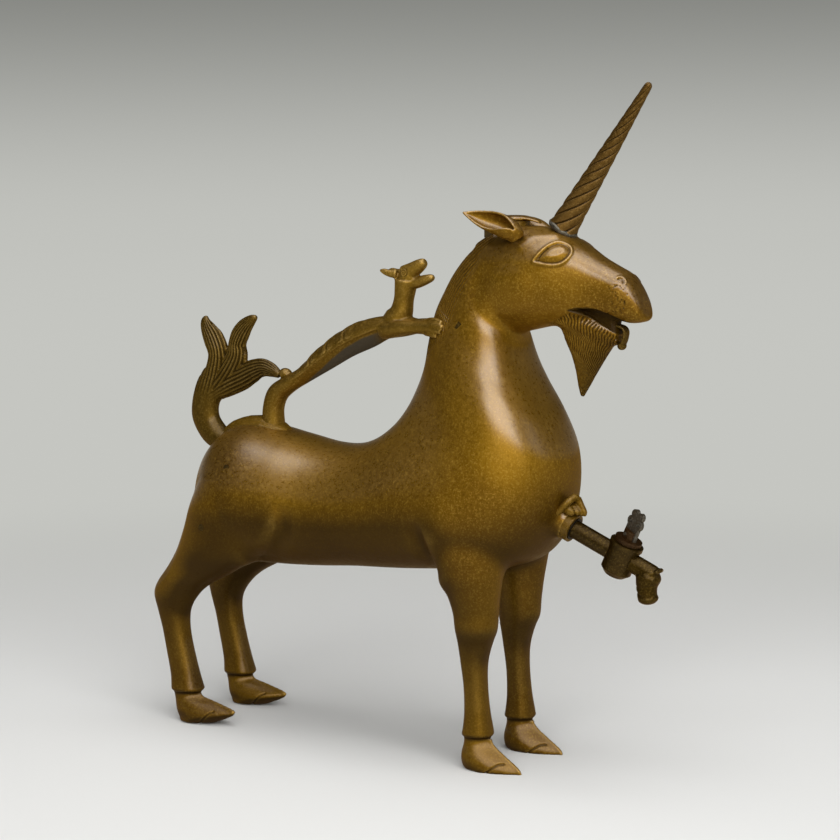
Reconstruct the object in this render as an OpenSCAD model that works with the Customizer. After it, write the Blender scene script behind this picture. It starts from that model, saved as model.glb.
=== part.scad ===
// Aquamanile: a cast water vessel in the form of a standing unicorn.
// Water goes in at the crown, under a small lid, and comes out of the tap on the chest.
// +X is forward, +Y is the animal's left, Z is up and the hooves stand on Z = 0.

/* [Whole vessel] */
// Height from the floor to the crown of the head, mm
crown_height = 316; // [250:1:380]
// Width of the trunk at the haunches, mm
trunk_width = 100; // [96:1:108]
// Thickness of the cast wall, mm
wall = 2.6; // [2.2:0.1:3.2]

/* [Horn] */
// Length of the horn above its seat, mm
horn_length = 96; // [60:1:130]
// Width of the horn at its seat, mm
horn_base = 16; // [13:0.5:18]

/* [Filler] */
// Width of the filler mouth, mm
filler_bore = 13; // [11:0.5:14]
// Thickness of the filler lid, mm
lid_thickness = 2.4; // [2:0.1:3]

/* [Tap] */
// Outside width of the water pipe, mm
pipe_width = 10.6; // [9.6:0.1:11]
// Width of the water way through pipe, plug and spout, mm
water_way = 4.4; // [3.6:0.1:4.8]
// Outside width of the tap barrel, mm
barrel_width = 18; // [17:0.5:20]
// Angle of the key about the barrel, degrees
key_angle = -115; // [-180:5:180]

/* [Hidden] */

bronze = [0.55, 0.40, 0.17];
dark_bronze = [0.36, 0.26, 0.13];
pewter = [0.62, 0.60, 0.55];
packing = [0.10, 0.09, 0.08];

// The outline below is drawn with the crown 316 mm high and scaled as a whole.
size = crown_height / 316;
// Middle of the drawn length, moved to X = 0.
mid_x = 26.7;
broad = trunk_width / 100;
skin = wall / size;
// Gap round a turning part, and the gap left under a part that swings.
play = 0.06 / size;
swing = 0.35 / size;

// Sections of the trunk and neck, from the rump to the throat.
// Back line X and Z, belly line X and Z, half width, and how much fuller the belly side is.
trunk = [
    [-118, 162, -119, 143, 5, 0],
    [-114.5, 169.5, -118, 127, 17, 0.05],
    [-107, 178, -112, 113, 29, 0.08],
    [-95, 185.5, -100, 106, 40, 0.10],
    [-76, 188, -81, 103, 47, 0.10],
    [-51, 184, -55, 103, 46.5, 0.08],
    [-26, 180, -27, 104.5, 44, 0.08],
    [-6, 180.5, 0, 107, 44, 0.10],
    [11, 186, 32, 109, 46, 0.14],
    [25, 196, 64, 112, 48, 0.20],
    [34, 207.5, 94, 115, 48, 0.26],
    [40, 220, 117, 122, 46, 0.30],
    [44, 232, 130, 138, 43, 0.32],
    [46, 244, 136, 158, 40, 0.32],
    [48, 255, 136, 179, 36.5, 0.32],
    [51, 265, 129, 198, 32, 0.30],
    [56, 275, 120, 213, 28, 0.28],
    [62, 285, 112, 228, 25, 0.25],
    [70, 295, 106, 244, 22.5, 0.20],
    [80, 304, 104, 254, 20, 0.15],
];
// The neck is parted from the head at this section.
neck_cut = 17;

// Sections of the head, from the poll to the upper lip.
skull = [
    [77, 303, 98, 255, 17, 0.05],
    [88, 309, 104.5, 252.5, 21, 0.08],
    [103, 313, 113, 254, 23.5, 0.10],
    [117, 313.5, 124, 256.5, 24, 0.05],
    [131, 311, 134, 258, 22.5, 0],
    [144, 304.5, 143, 260, 19.5, 0],
    [156, 297, 151, 262, 16.5, 0],
    [166, 292, 160, 263, 14.5, 0],
    [173, 288.5, 169, 262, 13.5, 0],
    [178.5, 283, 176.5, 260.5, 11, 0],
    [181.5, 276.5, 182, 263, 7, 0],
];
jaw = [
    [126, 270, 124, 258, 12, 0],
    [138, 267, 136, 256, 12, 0],
    [150, 263.5, 148, 251.5, 10, 0],
    [161, 260, 159, 248.5, 7.5, 0],
    [169, 255.5, 168, 247.5, 4.5, 0],
];

// Level sections of the limbs: Z, middle X, half length, middle Y, half width.
front_limb = [
    [150, 84, 30, 22, 20],
    [132, 84, 27, 25, 20],
    [116, 86.5, 21, 26, 17.5],
    [104, 89, 16.5, 26, 14.5],
    [92, 90.5, 13.8, 25.5, 12.5],
    [82, 90.8, 12.8, 25.5, 11.5],
    [74, 90, 10.6, 25, 10.3],
    [62, 89.5, 8.2, 25, 9],
    [48, 90.5, 7.2, 25, 8.2],
    [34, 91.5, 7.8, 25, 8.4],
    [25, 92, 9, 25, 9.5],
    [20, 92, 10, 25, 10.2],
];
hind_limb = [
    [158, -78, 25, 26, 18],
    [140, -80, 30, 29, 18.5],
    [124, -84, 31, 30, 17],
    [110, -92, 29, 30, 15.5],
    [98, -105.5, 24, 29, 13],
    [88, -119, 18.8, 28.5, 11],
    [80, -125.5, 15.8, 28, 10.3],
    [70, -127.5, 11.5, 27.5, 9.5],
    [58, -126, 9.4, 27.5, 8.8],
    [44, -123, 9.6, 27.5, 8.4],
    [30, -119.5, 10, 27.5, 9],
    [20, -117.5, 11.4, 27.5, 10.2],
];
// The limbs are parted from the trunk at these sections.
front_cut = 3;
hind_cut = 4;
// Level of the step under the fetlock.
fetlock = 20;
// Number of sides of a limb section.
leg_sides = 20;

function mix(a, b, t) = a + (b - a) * t;
function sign_pow(v, p) = sign(v) * pow(abs(v), p);

// A smooth curve through four rows, between the two in the middle.
function curve(a, b, c, d, t) =
    0.5 * (2 * b + (c - a) * t + (2 * a - 5 * b + 4 * c - d) * t * t
        + (3 * b - a - 3 * c + d) * t * t * t);

// Rows first to last of a table, with steps rows for each one given.
function smooth_rows(rows, first, last, steps) =
    let (top = len(rows) - 1)
    [for (i = [first : last - 1], k = [0 : steps - 1])
        curve(rows[max(i - 1, 0)], rows[i], rows[i + 1], rows[min(i + 2, top)], k / steps),
     rows[last]];

// A section that stands between a back line point and a belly line point.
function upright_ring(row, inset, n, wide = 1) =
    let (back = [row[0], 0, row[1]], belly = [row[2], 0, row[3]])
    let (middle = (back + belly) / 2, reach = norm(back - belly) / 2)
    let (up = (back - belly) / (2 * reach))
    [for (i = [0 : n - 1])
        let (c = sign_pow(cos(360 * i / n), 0.92), s = sign_pow(sin(360 * i / n), 0.92))
        middle + up * (reach - inset) * c
            + [0, (row[4] * wide - inset) * s * (1 - row[5] * c), 0]];

// A level section.
function level_ring(row, n) =
    [for (i = [0 : n - 1])
        [row[1] + row[2] * cos(360 * i / n), row[3] * broad + row[4] * sin(360 * i / n), row[0]]];

// A section across a curved stem: middle X and Z, half width in the XZ plane, half width in Y, slope.
function stem_ring(row, n) =
    [for (i = [0 : n - 1])
        [row[0] - sin(row[4]) * row[2] * cos(360 * i / n),
         row[3] * sin(360 * i / n),
         row[1] + cos(row[4]) * row[2] * cos(360 * i / n)]];

// A closed skin over a row of sections with the same number of points.
function middle_of(ring) = [for (k = [0 : 2]) [for (p = ring) p[k]] * [for (p = ring) 1] / len(ring)];
function turn_of(ring) =
    let (n = len(ring), m = middle_of(ring))
    [for (k = [0 : 2])
        [for (i = [0 : n - 1]) cross(ring[i] - m, ring[(i + 1) % n] - m)[k]] * [for (i = [0 : n - 1]) 1]];

module skinned(rings) {
    n = len(rings[0]);
    last = len(rings) - 1;
    ahead = middle_of(rings[1]) - middle_of(rings[0]);
    forward = turn_of(rings[0]) * ahead > 0;
    start = [for (k = [0 : n - 1]) forward ? k : n - 1 - k];
    walls = [for (i = [0 : last - 1], k = [0 : n - 1], half = [0, 1])
        let (a = i * n + k, b = i * n + (k + 1) % n)
        half == 0 ? (forward ? [a, a + n, b] : [a, b, a + n])
            : (forward ? [b, a + n, b + n] : [b, b + n, a + n])];
    finish = [for (k = [0 : n - 1]) last * n + (forward ? n - 1 - k : k)];
    polyhedron([for (r = rings, p = r) p], concat([start], walls, [finish]));
}

// A ridge of rounded beads through a list of points, each with its radius.
module beads(list) {
    for (i = [0 : len(list) - 2])
        hull() {
            translate(list[i][0]) sphere(list[i][1], $fn = 8);
            translate(list[i + 1][0]) sphere(list[i + 1][1], $fn = 8);
        }
}

module placed() {
    scale(size) translate([-mid_x, 0, 0]) children();
}

module both_sides() {
    children();
    mirror([0, 1, 0]) children();
}

// Trunk and neck

module trunk_solid(last, n = 32, steps = 2) {
    rows = smooth_rows(trunk, 0, last, steps);
    skinned([for (r = rows) upright_ring(r, 0, n, broad)]);
}

module trunk_hollow(first, last) {
    skinned([for (r = smooth_rows(trunk, first, last, 1)) upright_ring(r, skin, 24, broad)]);
}

module limb_top(rows, cut) {
    skinned([for (r = smooth_rows(rows, 0, cut, 2)) level_ring(r, leg_sides)]);
}

module limb_hollow(rows) {
    skinned([for (i = [0 : 2])
        level_ring([rows[i][0], rows[i][1], rows[i][2] - skin - 2, rows[i][3] - 2, rows[i][4] - skin - 2], 20)]);
}

module outer_body() {
    trunk_solid(neck_cut);
    both_sides() limb_top(front_limb, front_cut);
    both_sides() limb_top(hind_limb, hind_cut);
    both_sides() muscles();
}

// Soft webs behind the elbow and in front of the stifle.
module muscles() {
    beads([[[56, 25, 125], 9], [[65, 26, 118], 9], [[73, 26, 111], 8]]);
    beads([[[-52, 27, 126], 9], [[-63, 28, 117], 9], [[-76, 29, 108], 8]]);
}

module body_shell() {
    color(bronze) placed()
        difference() {
            outer_body();
            trunk_hollow(1, neck_cut + 1);
            both_sides() limb_hollow(front_limb);
            both_sides() limb_hollow(hind_limb);
            collar_recess();
            core_pin_holes();
        }
}

// Legs

module leg(rows, cut, hoof_rows) {
    shank = [for (r = smooth_rows(rows, cut, len(rows) - 1, 2)) level_ring(r, leg_sides)];
    difference() {
        skinned(concat(shank, [for (r = hoof_rows) hoof_ring(r)]));
        translate([-200, -100, -20]) cube([400, 200, 20]);
    }
}

// A hoof section is a rounded heel drawn out to a point: Z at heel and toe, heel X, toe X, middle Y, half width.
function hoof_ring(row) =
    let (long = row[3] - row[2])
    [for (i = [0 : leg_sides - 1])
        let (c = cos(360 * i / leg_sides), s = sin(360 * i / leg_sides))
        let (along = (c + 1) / 2)
        [row[2] + long * along,
         row[4] * broad + row[5] * s * (1 - 0.45 * along * along),
         mix(row[0], row[1], along)]];

front_hoof = [
    [fetlock - 0.6, fetlock - 0.6, 83.5, 100.5, 25, 8.2],
    [15, 14, 83.5, 101.5, 25, 8.2],
    [8, 8, 82, 110, 25, 11],
    [2, 3, 82.5, 119, 25, 11],
    [-1, -1, 84.5, 119.5, 25, 10],
];
hind_hoof = [
    [fetlock - 0.6, fetlock - 0.6, -127, -107.5, 27.5, 8.4],
    [14, 16, -126, -106, 27.5, 8.2],
    [7, 13, -125, -93, 27.5, 10.5],
    [2.5, 8.5, -123.5, -82, 27.5, 10.5],
    [-1, -1, -122, -100, 27.5, 9],
];

module front_leg() {
    leg(front_limb, front_cut, front_hoof);
}

module hind_leg() {
    leg(hind_limb, hind_cut, hind_hoof);
}

module front_leg_left() { color(bronze) placed() front_leg(); }
module front_leg_right() { color(bronze) placed() mirror([0, 1, 0]) front_leg(); }
module hind_leg_left() { color(bronze) placed() hind_leg(); }
module hind_leg_right() { color(bronze) placed() mirror([0, 1, 0]) hind_leg(); }

// Head

module neck_top() {
    last = len(trunk) - 1;
    skinned([for (r = smooth_rows(trunk, neck_cut, last, 2)) upright_ring(r, 0, 32, broad)]);
}

module skull_solid() {
    rows = smooth_rows(skull, 0, len(skull) - 1, 2);
    skinned([for (r = rows) upright_ring(r, 0, 28)]);
}

module beard() {
    skinned([for (r = [
            [257, 149, 18, 0, 8],
            [249, 149.8, 15.5, 0, 7.5],
            [241, 149.2, 11, 0, 6.4],
            [232, 147.8, 6.8, 0, 4.6],
            [224, 146.2, 3.8, 0, 3],
            [217, 145, 1, 0, 1],
        ]) level_ring(r, 20)]);
}

// Almond eye, set into the side of the head.
eye = [132, 15.4, 297.4];
module eyeball() {
    translate(eye) rotate([-14, -14, 12]) scale([12, 4.6, 5.8]) sphere(1, $fn = 20);
}

module outer_head() {
    neck_top();
    skull_solid();
    skinned([for (r = smooth_rows(jaw, 0, len(jaw) - 1, 1)) upright_ring(r, 0, 24)]);
    beard();
    both_sides() eyeball();
    both_sides() face();
}

// Brow, nostril rim and lip.
module face() {
    beads([[[121, 20.5, 297.5], 1.8], [[128, 17.5, 302.5], 1.8], [[136, 13.8, 304], 1.8], [[142, 13, 300], 1.4]]);
    beads([[[168, 10, 284], 2.6], [[174, 9.5, 281], 2.6]]);
    beads([[[152, 12, 265.5], 3.6], [[166, 10.5, 264.5], 3.6], [[176, 7, 263.5], 3.4]]);
}

// The hollow of the head starts in the neck.
neck_way = [64, 287, 95, 246, 19, 0.1];

module head_hollow() {
    trunk_hollow(neck_cut - 1, len(trunk) - 1);
    skinned([for (r = smooth_rows(concat([neck_way], skull), 0, 8, 1)) upright_ring(r, skin + 0.8, 26)]);
    // Clear way down from the filler mouth.
    translate([filler_x - 1.2, 0, 259.5]) cylinder(r = 5, h = 40, $fn = 32);
}

module head_shell() {
    color(bronze) placed()
        difference() {
            outer_head();
            head_hollow();
            filler_recess();
            horn_recess();
            hinge_recess();
            tongue_slot();
        }
}

// Ears

ear_rows = [
    [118, 306, 3.2, 18, 3.4],
    [112, 310.6, 4.2, 20, 4.4],
    [104.5, 314.4, 4.6, 22, 4.8],
    [96, 317.4, 4, 24, 4.2],
    [89, 319.6, 2.8, 25.5, 2.8],
    [81.5, 321.4, 0.8, 26.5, 0.8],
];

function ear_ring(row, n, shrink, out) =
    [for (i = [0 : n - 1])
        [row[0] + 0.35 * (row[2] - shrink) * cos(360 * i / n),
         row[3] + out + (row[4] - shrink) * sin(360 * i / n),
         row[1] + (row[2] - shrink) * cos(360 * i / n)]];

// Points along the edge of the cup, over and under.
function ear_edge(side) =
    [for (i = [1 : 5])
        let (r = ear_rows[i])
        [[r[0] + 0.35 * side * r[2], r[3] + 0.4 * r[4], r[1] + side * r[2]], 1]];

// The left ear sits a little lower than the right one.
module ear(drop) {
    difference() {
        translate([0, 0, -drop])
            difference() {
                union() {
                    skinned([for (r = smooth_rows(ear_rows, 0, 5, 2)) ear_ring(r, 14, 0, 0)]);
                    beads(ear_edge(1));
                    beads(ear_edge(-1));
                }
                skinned([for (r = smooth_rows(ear_rows, 1, 4, 1)) ear_ring(r, 12, 1.6, 3)]);
            }
        skull_solid();
        neck_top();
        face();
    }
}

module ear_left() { color(bronze) placed() ear(4); }
module ear_right() { color(bronze) placed() mirror([0, 1, 0]) ear(0); }

// Tongue: a strap that comes out of the mouth, hangs down and curls at its end.
tongue_w = 7;
tongue_outline = [
    [152, 258], [172.6, 257.3], [172.6, 246.8], [175, 246.8], [175, 258.4], [174.2, 259.6], [152, 260.4],
];

module tongue() {
    color(dark_bronze) placed()
        union() {
            rotate([90, 0, 0]) linear_extrude(tongue_w, center = true) polygon(tongue_outline);
            // The curl is a little broader than the strap.
            translate([172, tongue_w / 2 + 0.4, 247.5]) rotate([90, 0, 0])
                cylinder(r = 2.6, h = tongue_w + 0.8, $fn = 32);
        }
}
module tongue_slot() {
    translate([151.9, -tongue_w / 2 - 0.1, 257.8]) rotate([0, 2, 0]) cube([40, tongue_w + 0.2, 2.8]);
}

// Horn and its seat

horn_foot = [132, 0, 312.6];
horn_lean = 33.5;
tang_r = 3;
tang_deep = 9;
seat_r = horn_base / size / 2 + 0.6;
seat_t = 2.2;
horn_starts = 6;
horn_turns = 2;
horn_taper = 0.3;

module at_horn() {
    translate(horn_foot) rotate([0, horn_lean, 0]) children();
}

module horn() {
    r = horn_base / size / 2;
    h = horn_length / size;
    n = horn_starts * 2;
    color(dark_bronze) placed() at_horn()
        union() {
            linear_extrude(height = h, twist = -360 * horn_turns, scale = horn_taper, slices = 36)
                polygon([for (i = [0 : n - 1])
                    let (a = 360 * i / n)
                    r * (0.93 + 0.07 * cos(horn_starts * a)) * [cos(a), sin(a)]]);
            translate([0, 0, -tang_deep]) cylinder(r = tang_r, h = tang_deep + 0.5, $fn = 48);
        }
}

module horn_seat() {
    color(pewter) placed() at_horn()
        translate([0, 0, -seat_t])
            difference() {
                cylinder(r = seat_r, h = seat_t, $fn = 64);
                translate([0, 0, -1]) cylinder(r = tang_r, h = seat_t + 2, $fn = 48);
            }
}

module horn_recess() {
    at_horn() {
        translate([0, 0, -seat_t]) cylinder(r = seat_r + 0.2, h = 40, $fn = 48);
        translate([0, 0, -tang_deep - 0.2]) cylinder(r = tang_r + 0.2, h = tang_deep + 5, $fn = 32);
    }
}

// Filler mouth, lid and hinge

filler_x = 100;
rim_z = 316;
rim_r = filler_bore / size / 2 + 2.8;
rim_deep = 10;
lid_t = lid_thickness / size;
hinge_x = filler_x - rim_r - 4;
hinge_z = rim_z + 1.4;
hinge_deep = 11;
pin_r = 1.2;
knuckle_r = 2.6;
knuckle_w = 6;
lug_w = 3;
tab_w = 6;
tab_long = 7.4;

module filler_rim() {
    color(bronze) placed() translate([filler_x, 0, rim_z - rim_deep])
        difference() {
            cylinder(r = rim_r, h = rim_deep, $fn = 64);
            translate([0, 0, -1]) cylinder(r = filler_bore / size / 2, h = rim_deep + 2, $fn = 64);
        }
}

module filler_recess() {
    translate([filler_x, 0, rim_z - rim_deep - 20]) cylinder(r = rim_r + 0.1, h = rim_deep + 30, $fn = 48);
}

module filler_lid() {
    base = rim_z + swing;
    bore_r = filler_bore / size / 2;
    color(bronze) placed()
        difference() {
            union() {
                translate([filler_x, 0, base]) cylinder(r = rim_r + 0.6, h = lid_t, $fn = 64);
                translate([filler_x, 0, base - 1.6]) cylinder(r = bore_r - 0.6, h = 2, $fn = 64);
                translate([filler_x + rim_r - 2, -tab_w / 2, base]) cube([tab_long + 2, tab_w, lid_t]);
                translate([hinge_x, -knuckle_w / 2, base]) cube([8, knuckle_w, lid_t]);
                translate([hinge_x, knuckle_w / 2, hinge_z])
                    rotate([90, 0, 0]) cylinder(r = knuckle_r, h = knuckle_w, $fn = 48);
            }
            translate([hinge_x, 20, hinge_z])
                rotate([90, 0, 0]) cylinder(r = pin_r + play, h = 40, $fn = 48);
        }
}

module lid_hinge() {
    gap = knuckle_w / 2 + swing;
    foot_z = hinge_z - hinge_deep;
    color(dark_bronze) placed()
        difference() {
            union() {
                both_sides() {
                    translate([hinge_x, gap + lug_w, hinge_z])
                        rotate([90, 0, 0]) cylinder(r = knuckle_r, h = lug_w, $fn = 48);
                    translate([hinge_x - knuckle_r, gap, foot_z + 2])
                        cube([2 * knuckle_r, lug_w, hinge_deep - 2]);
                }
                translate([hinge_x - knuckle_r, -gap - lug_w, foot_z])
                    cube([2 * knuckle_r, 2 * (gap + lug_w), 3]);
            }
            translate([hinge_x, 20, hinge_z])
                rotate([90, 0, 0]) cylinder(r = pin_r, h = 40, $fn = 48);
        }
}

module hinge_recess() {
    gap = knuckle_w / 2 + swing;
    half = gap + lug_w + 0.1;
    translate([hinge_x - knuckle_r - 0.1, -half, hinge_z - hinge_deep])
        cube([2 * knuckle_r + 0.2, 2 * half, 30]);
    translate([hinge_x - knuckle_r - 1, -knuckle_w / 2 - swing, hinge_z - 4])
        cube([knuckle_r * 2 + 6, knuckle_w + 2 * swing, 20]);
}

module lid_pin() {
    half = knuckle_w / 2 + swing + lug_w;
    color(dark_bronze) placed() translate([hinge_x, half, hinge_z])
        rotate([90, 0, 0]) cylinder(r = pin_r, h = 2 * half, $fn = 48);
}

// Tail, with a root on the rump and three tufts
// Rows: middle X and Z, half width, half thickness in Y, direction in degrees.

tail_stem = [
    [-106, 174, 7, 7.5, 150],
    [-115, 178.5, 8, 7.5, 124],
    [-122, 188.5, 9, 6.5, 98],
    [-122.5, 199, 9.6, 6, 80],
    [-117, 210, 11.5, 6, 68],
    [-111, 219, 11, 5.5, 62],
];
tuft_back = [
    [-117, 205, 9, 5.5, 80],
    [-114, 219, 8, 5.5, 88],
    [-114.5, 231, 5.8, 4.5, 105],
    [-118.5, 241, 5, 3.6, 118],
    [-123, 249, 2.6, 2.2, 108],
    [-123.5, 252.5, 0.8, 0.8, 85],
];
tuft_middle = [
    [-114, 208, 9, 5.5, 60],
    [-104, 222, 9, 5.5, 56],
    [-95.5, 235, 7.8, 5, 60],
    [-91.5, 244.5, 6.6, 4, 52],
    [-86.5, 251, 3.8, 3, 28],
    [-81.5, 253.5, 1, 1, 15],
];
tuft_front = [
    [-116, 204, 9, 5.5, 50],
    [-106, 213.5, 9, 5.5, 30],
    [-93, 219.5, 8.2, 5, 14],
    [-81, 222.5, 7, 4.5, 2],
    [-72, 220.5, 4.8, 4, -26],
    [-65.5, 217.5, 2, 2, -18],
];

module stem(rows, n = 18, steps = 2) {
    skinned([for (r = smooth_rows(rows, 0, len(rows) - 1, steps)) stem_ring(r, n)]);
}

// A raised rib along the flat side of a tuft.
module rib(rows) {
    beads([for (i = [1 : len(rows) - 2]) [[rows[i][0], rows[i][3] - 0.4, rows[i][1]], 1.1]]);
}

module tail() {
    color(dark_bronze) placed()
        difference() {
            union() {
                stem(tail_stem);
                stem(tuft_back);
                stem(tuft_middle);
                stem(tuft_front);
                both_sides() rib(tuft_back);
                both_sides() rib(tuft_middle);
                both_sides() rib(tuft_front);
            }
            trunk_solid(8);
            pad_solid();
            both_sides() pad_edge();
            handle_solid();
        }
}

// Plate on the rump, under the handle foot
pad_rows = [
    [-104, 180.5, 4, 5, 20],
    [-97, 184, 5, 8, 18],
    [-86, 187, 5.4, 9.5, 8],
    [-74, 187.5, 5.2, 9.5, -5],
    [-64, 185.5, 4, 8, -10],
    [-58, 184, 2, 4, -12],
];

module pad_solid() {
    stem(pad_rows, 18, 2);
}

// Rounded edge of the plate.
module pad_edge() {
    beads([for (r = pad_rows) [[r[0], r[3] - 0.6, r[1]], 1.2]]);
}

module rump_pad() {
    color(bronze) placed()
        difference() {
            union() {
                pad_solid();
                both_sides() pad_edge();
            }
            trunk_solid(8);
        }
}

// Beast handle

handle_rows = [
    [-69.5, 188, 6.8, 7.5, 88],
    [-69.6, 198, 6.6, 6.8, 86],
    [-66, 207.4, 6.6, 6.6, 58],
    [-57, 213.8, 5.4, 6.6, 34],
    [-45, 220.4, 5.4, 7, 35],
    [-30, 230.6, 7.4, 8, 36],
    [-14, 240.4, 8.4, 8.5, 28],
    [2, 247.4, 8.6, 9, 21],
    [16, 251.5, 7.4, 9, 10],
    [28, 252.8, 6.2, 8, 4],
    [38, 253, 4, 6, 0],
];
beast_neck = [
    [20, 250, 7, 7.5, 60],
    [24, 258, 6.6, 6.4, 80],
    [25, 267, 5.8, 5.4, 88],
    [25.5, 276, 6, 5.4, 80],
];
beast_head = [
    [17, 281, 3, 3, -5],
    [21.5, 281.5, 5.5, 5, 0],
    [27.5, 282, 6.3, 5.6, 12],
    [33, 285.4, 4.8, 4.6, 36],
    [37, 288.6, 3.6, 3.8, 36],
    [39.6, 290.4, 1.6, 2.2, 30],
];
beast_jaw = [
    [28, 278, 3.4, 4, 0],
    [36, 278, 2.6, 3.4, 3],
    [43, 279.5, 2, 2.6, 15],
    [46.5, 281.5, 0.8, 1, 30],
];
forearm = [
    [[22, 7, 249.5], 5.6],
    [[32, 10.5, 252.6], 4.4],
    [[42, 12, 253.4], 3.8],
    [[51, 13.6, 253.8], 4.6],
    [[58, 17, 253.6], 4.2],
    [[62, 19, 253.4], 3],
];

module handle_solid() {
    stem(handle_rows, 18, 2);
    stem(beast_neck, 14, 1);
    stem(beast_head, 14, 1);
    stem(beast_jaw, 12, 1);
    both_sides() beads(forearm);
    both_sides() beads([[[22, 3, 283], 3], [[17, 4.6, 285], 2.4], [[12.6, 5.4, 286], 1]]);
}

module beast_handle() {
    color(dark_bronze) placed()
        difference() {
            handle_solid();
            trunk_solid(neck_cut);
            pad_solid();
        }
}

// Spigot on the chest. The tap frame has its origin in the middle of the barrel,
// X along the pipe toward the spout and Z along the barrel.

tap_at = [170.8, 0, 128.4];
tap_dip = 23.4;
collar_end = -33;
collar_long = 12;
collar_r = 8.4;
chest_hole_r = 5.3;
packing_t = 1.4;
pipe_r = pipe_width / size / 2;
way_r = water_way / size / 2;
barrel_r = barrel_width / size / 2;
barrel_low = -11.5;
barrel_top = 9;

module at_tap() {
    translate(tap_at) rotate([0, tap_dip, 0]) children();
}

module along(x, r, h) {
    translate([x, 0, 0]) rotate([0, 90, 0]) cylinder(r = r, h = h, $fn = 64);
}

module collar_recess() {
    at_tap() {
        along(collar_end - collar_long, collar_r + 0.1, 60);
        along(collar_end - collar_long - 20, chest_hole_r, 40);
    }
}

module spigot_collar() {
    color(bronze) placed() at_tap()
        difference() {
            along(collar_end - collar_long, collar_r, collar_long);
            along(collar_end - collar_long - 1, pipe_r + packing_t, collar_long + 2);
        }
}

module pipe_packing() {
    color(packing) placed() at_tap()
        difference() {
            along(collar_end - collar_long, pipe_r + packing_t, collar_long + 0.6);
            along(collar_end - collar_long - 1, pipe_r, collar_long + 4);
        }
}

module spigot_pipe() {
    color(dark_bronze) placed() at_tap()
        difference() {
            along(collar_end - collar_long + 0.3, pipe_r, -collar_end + collar_long - 0.3);
            along(collar_end - collar_long - 6, way_r, -collar_end + collar_long + 20);
            translate([0, 0, -30]) cylinder(r = barrel_r, h = 60, $fn = 64);
        }
}

// Mask over the collar
mask_rows = [
    [129, 152, 5.4, 7.5, -10],
    [135, 152.8, 5.4, 7.5, -25],
    [140, 153, 4.8, 6, -40],
    [144.4, 151.8, 3.2, 3.6, -45],
    [147, 150.4, 1.2, 1.8, -45],
];

module collar_mask() {
    color(bronze) placed()
        difference() {
            union() {
                stem(mask_rows, 16, 2);
                both_sides() beads([[[134.6, 8.2, 151.6], 1.9], [[139.6, 6.8, 157.2], 2.1], [[142, 2.6, 160], 2]]);
                both_sides() beads([[[143, 0.8, 158.6], 2], [[145, 0.8, 154.6], 1.9], [[147, 0.6, 151.2], 1.6]]);
            }
            trunk_solid(neck_cut);
            at_tap() along(collar_end - collar_long, collar_r + 0.05, 80);
        }
}

// Tap

plug_low = -8.2;
plug_r_low = 4.6;
plug_r_top = 5.6;
plug_long = barrel_top - plug_low;

module tap_barrel() {
    slope = (plug_r_top - plug_r_low) / plug_long;
    color(dark_bronze) placed() at_tap()
        difference() {
            union() {
                translate([0, 0, barrel_low + 3]) cylinder(r = barrel_r, h = barrel_top - barrel_low - 3, $fn = 64);
                translate([0, 0, barrel_low]) cylinder(r1 = barrel_r - 3, r2 = barrel_r, h = 3, $fn = 64);
                translate([0, 0, barrel_top - 2.4]) cylinder(r = barrel_r + 0.8, h = 2.4, $fn = 64);
            }
            translate([0, 0, plug_low - 0.3])
                cylinder(r1 = plug_r_low + play - 0.3 * slope, r2 = plug_r_top + play + slope,
                    h = plug_long + 1.3, $fn = 64);
            along(-40, way_r, 80);
        }
}

// Upright in the room, at a place along the pipe.
module hanging(x) {
    translate([x, 0, 0]) rotate([0, -tap_dip, 0]) children();
}

module spout_head() {
    neck_r = 5.4;
    neck_long = 23.8;
    turn_x = 18;
    brow_r = 7;
    brow_z = -4;
    muzzle_r = 6;
    muzzle_z = -12.6;
    color(dark_bronze) placed() at_tap()
        difference() {
            union() {
                along(0, neck_r, neck_long);
                hanging(turn_x) {
                    translate([0, 0, brow_z]) sphere(brow_r, $fn = 48);
                    translate([0, 0, muzzle_z]) cylinder(r = muzzle_r - 0.6, h = brow_z - muzzle_z, $fn = 64);
                    translate([0, 0, muzzle_z]) sphere(muzzle_r, $fn = 48);
                }
            }
            translate([0, 0, -30]) cylinder(r = barrel_r, h = 60, $fn = 64);
            translate([0, 0, barrel_top - 2.4 - 0.01]) cylinder(r = barrel_r + 0.8, h = 10, $fn = 64);
            along(0, way_r, turn_x);
            hanging(turn_x) {
                translate([0, 0, -30]) cylinder(r = way_r, h = 30, $fn = 64);
                sphere(way_r, $fn = 48);
            }
        }
}

head_low = barrel_top + swing;
boss_low = head_low + 2.4;
boss_top = boss_low + 5;
key_t = 2.4;
rivet_z = boss_low + 2.8;
rivet_r = 1;

module tap_plug() {
    color(dark_bronze) placed() at_tap() rotate([0, 0, key_angle])
        difference() {
            union() {
                translate([0, 0, plug_low]) cylinder(r1 = plug_r_low, r2 = plug_r_top, h = plug_long, $fn = 64);
                translate([0, 0, barrel_top - 0.5]) cylinder(r = plug_r_top - 0.2, h = 2, $fn = 64);
                translate([0, 0, head_low]) cylinder(r = 8, h = 2.4, $fn = 64);
                translate([0, 0, head_low]) cylinder(r = 4.4, h = boss_top - head_low, $fn = 64);
            }
            translate([-key_t / 2, -10, boss_low]) cube([key_t, 20, 20]);
            translate([0, 20, 0]) rotate([90, 0, 0]) cylinder(r = way_r, h = 40, $fn = 48);
            along_rivet(30);
        }
}

module along_rivet(h) {
    translate([-h / 2, 0, rivet_z]) rotate([0, 90, 0]) cylinder(r = rivet_r, h = h, $fn = 32);
}

module disc(y, z, r) {
    translate([y, z]) circle(r, $fn = 48);
}

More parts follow.
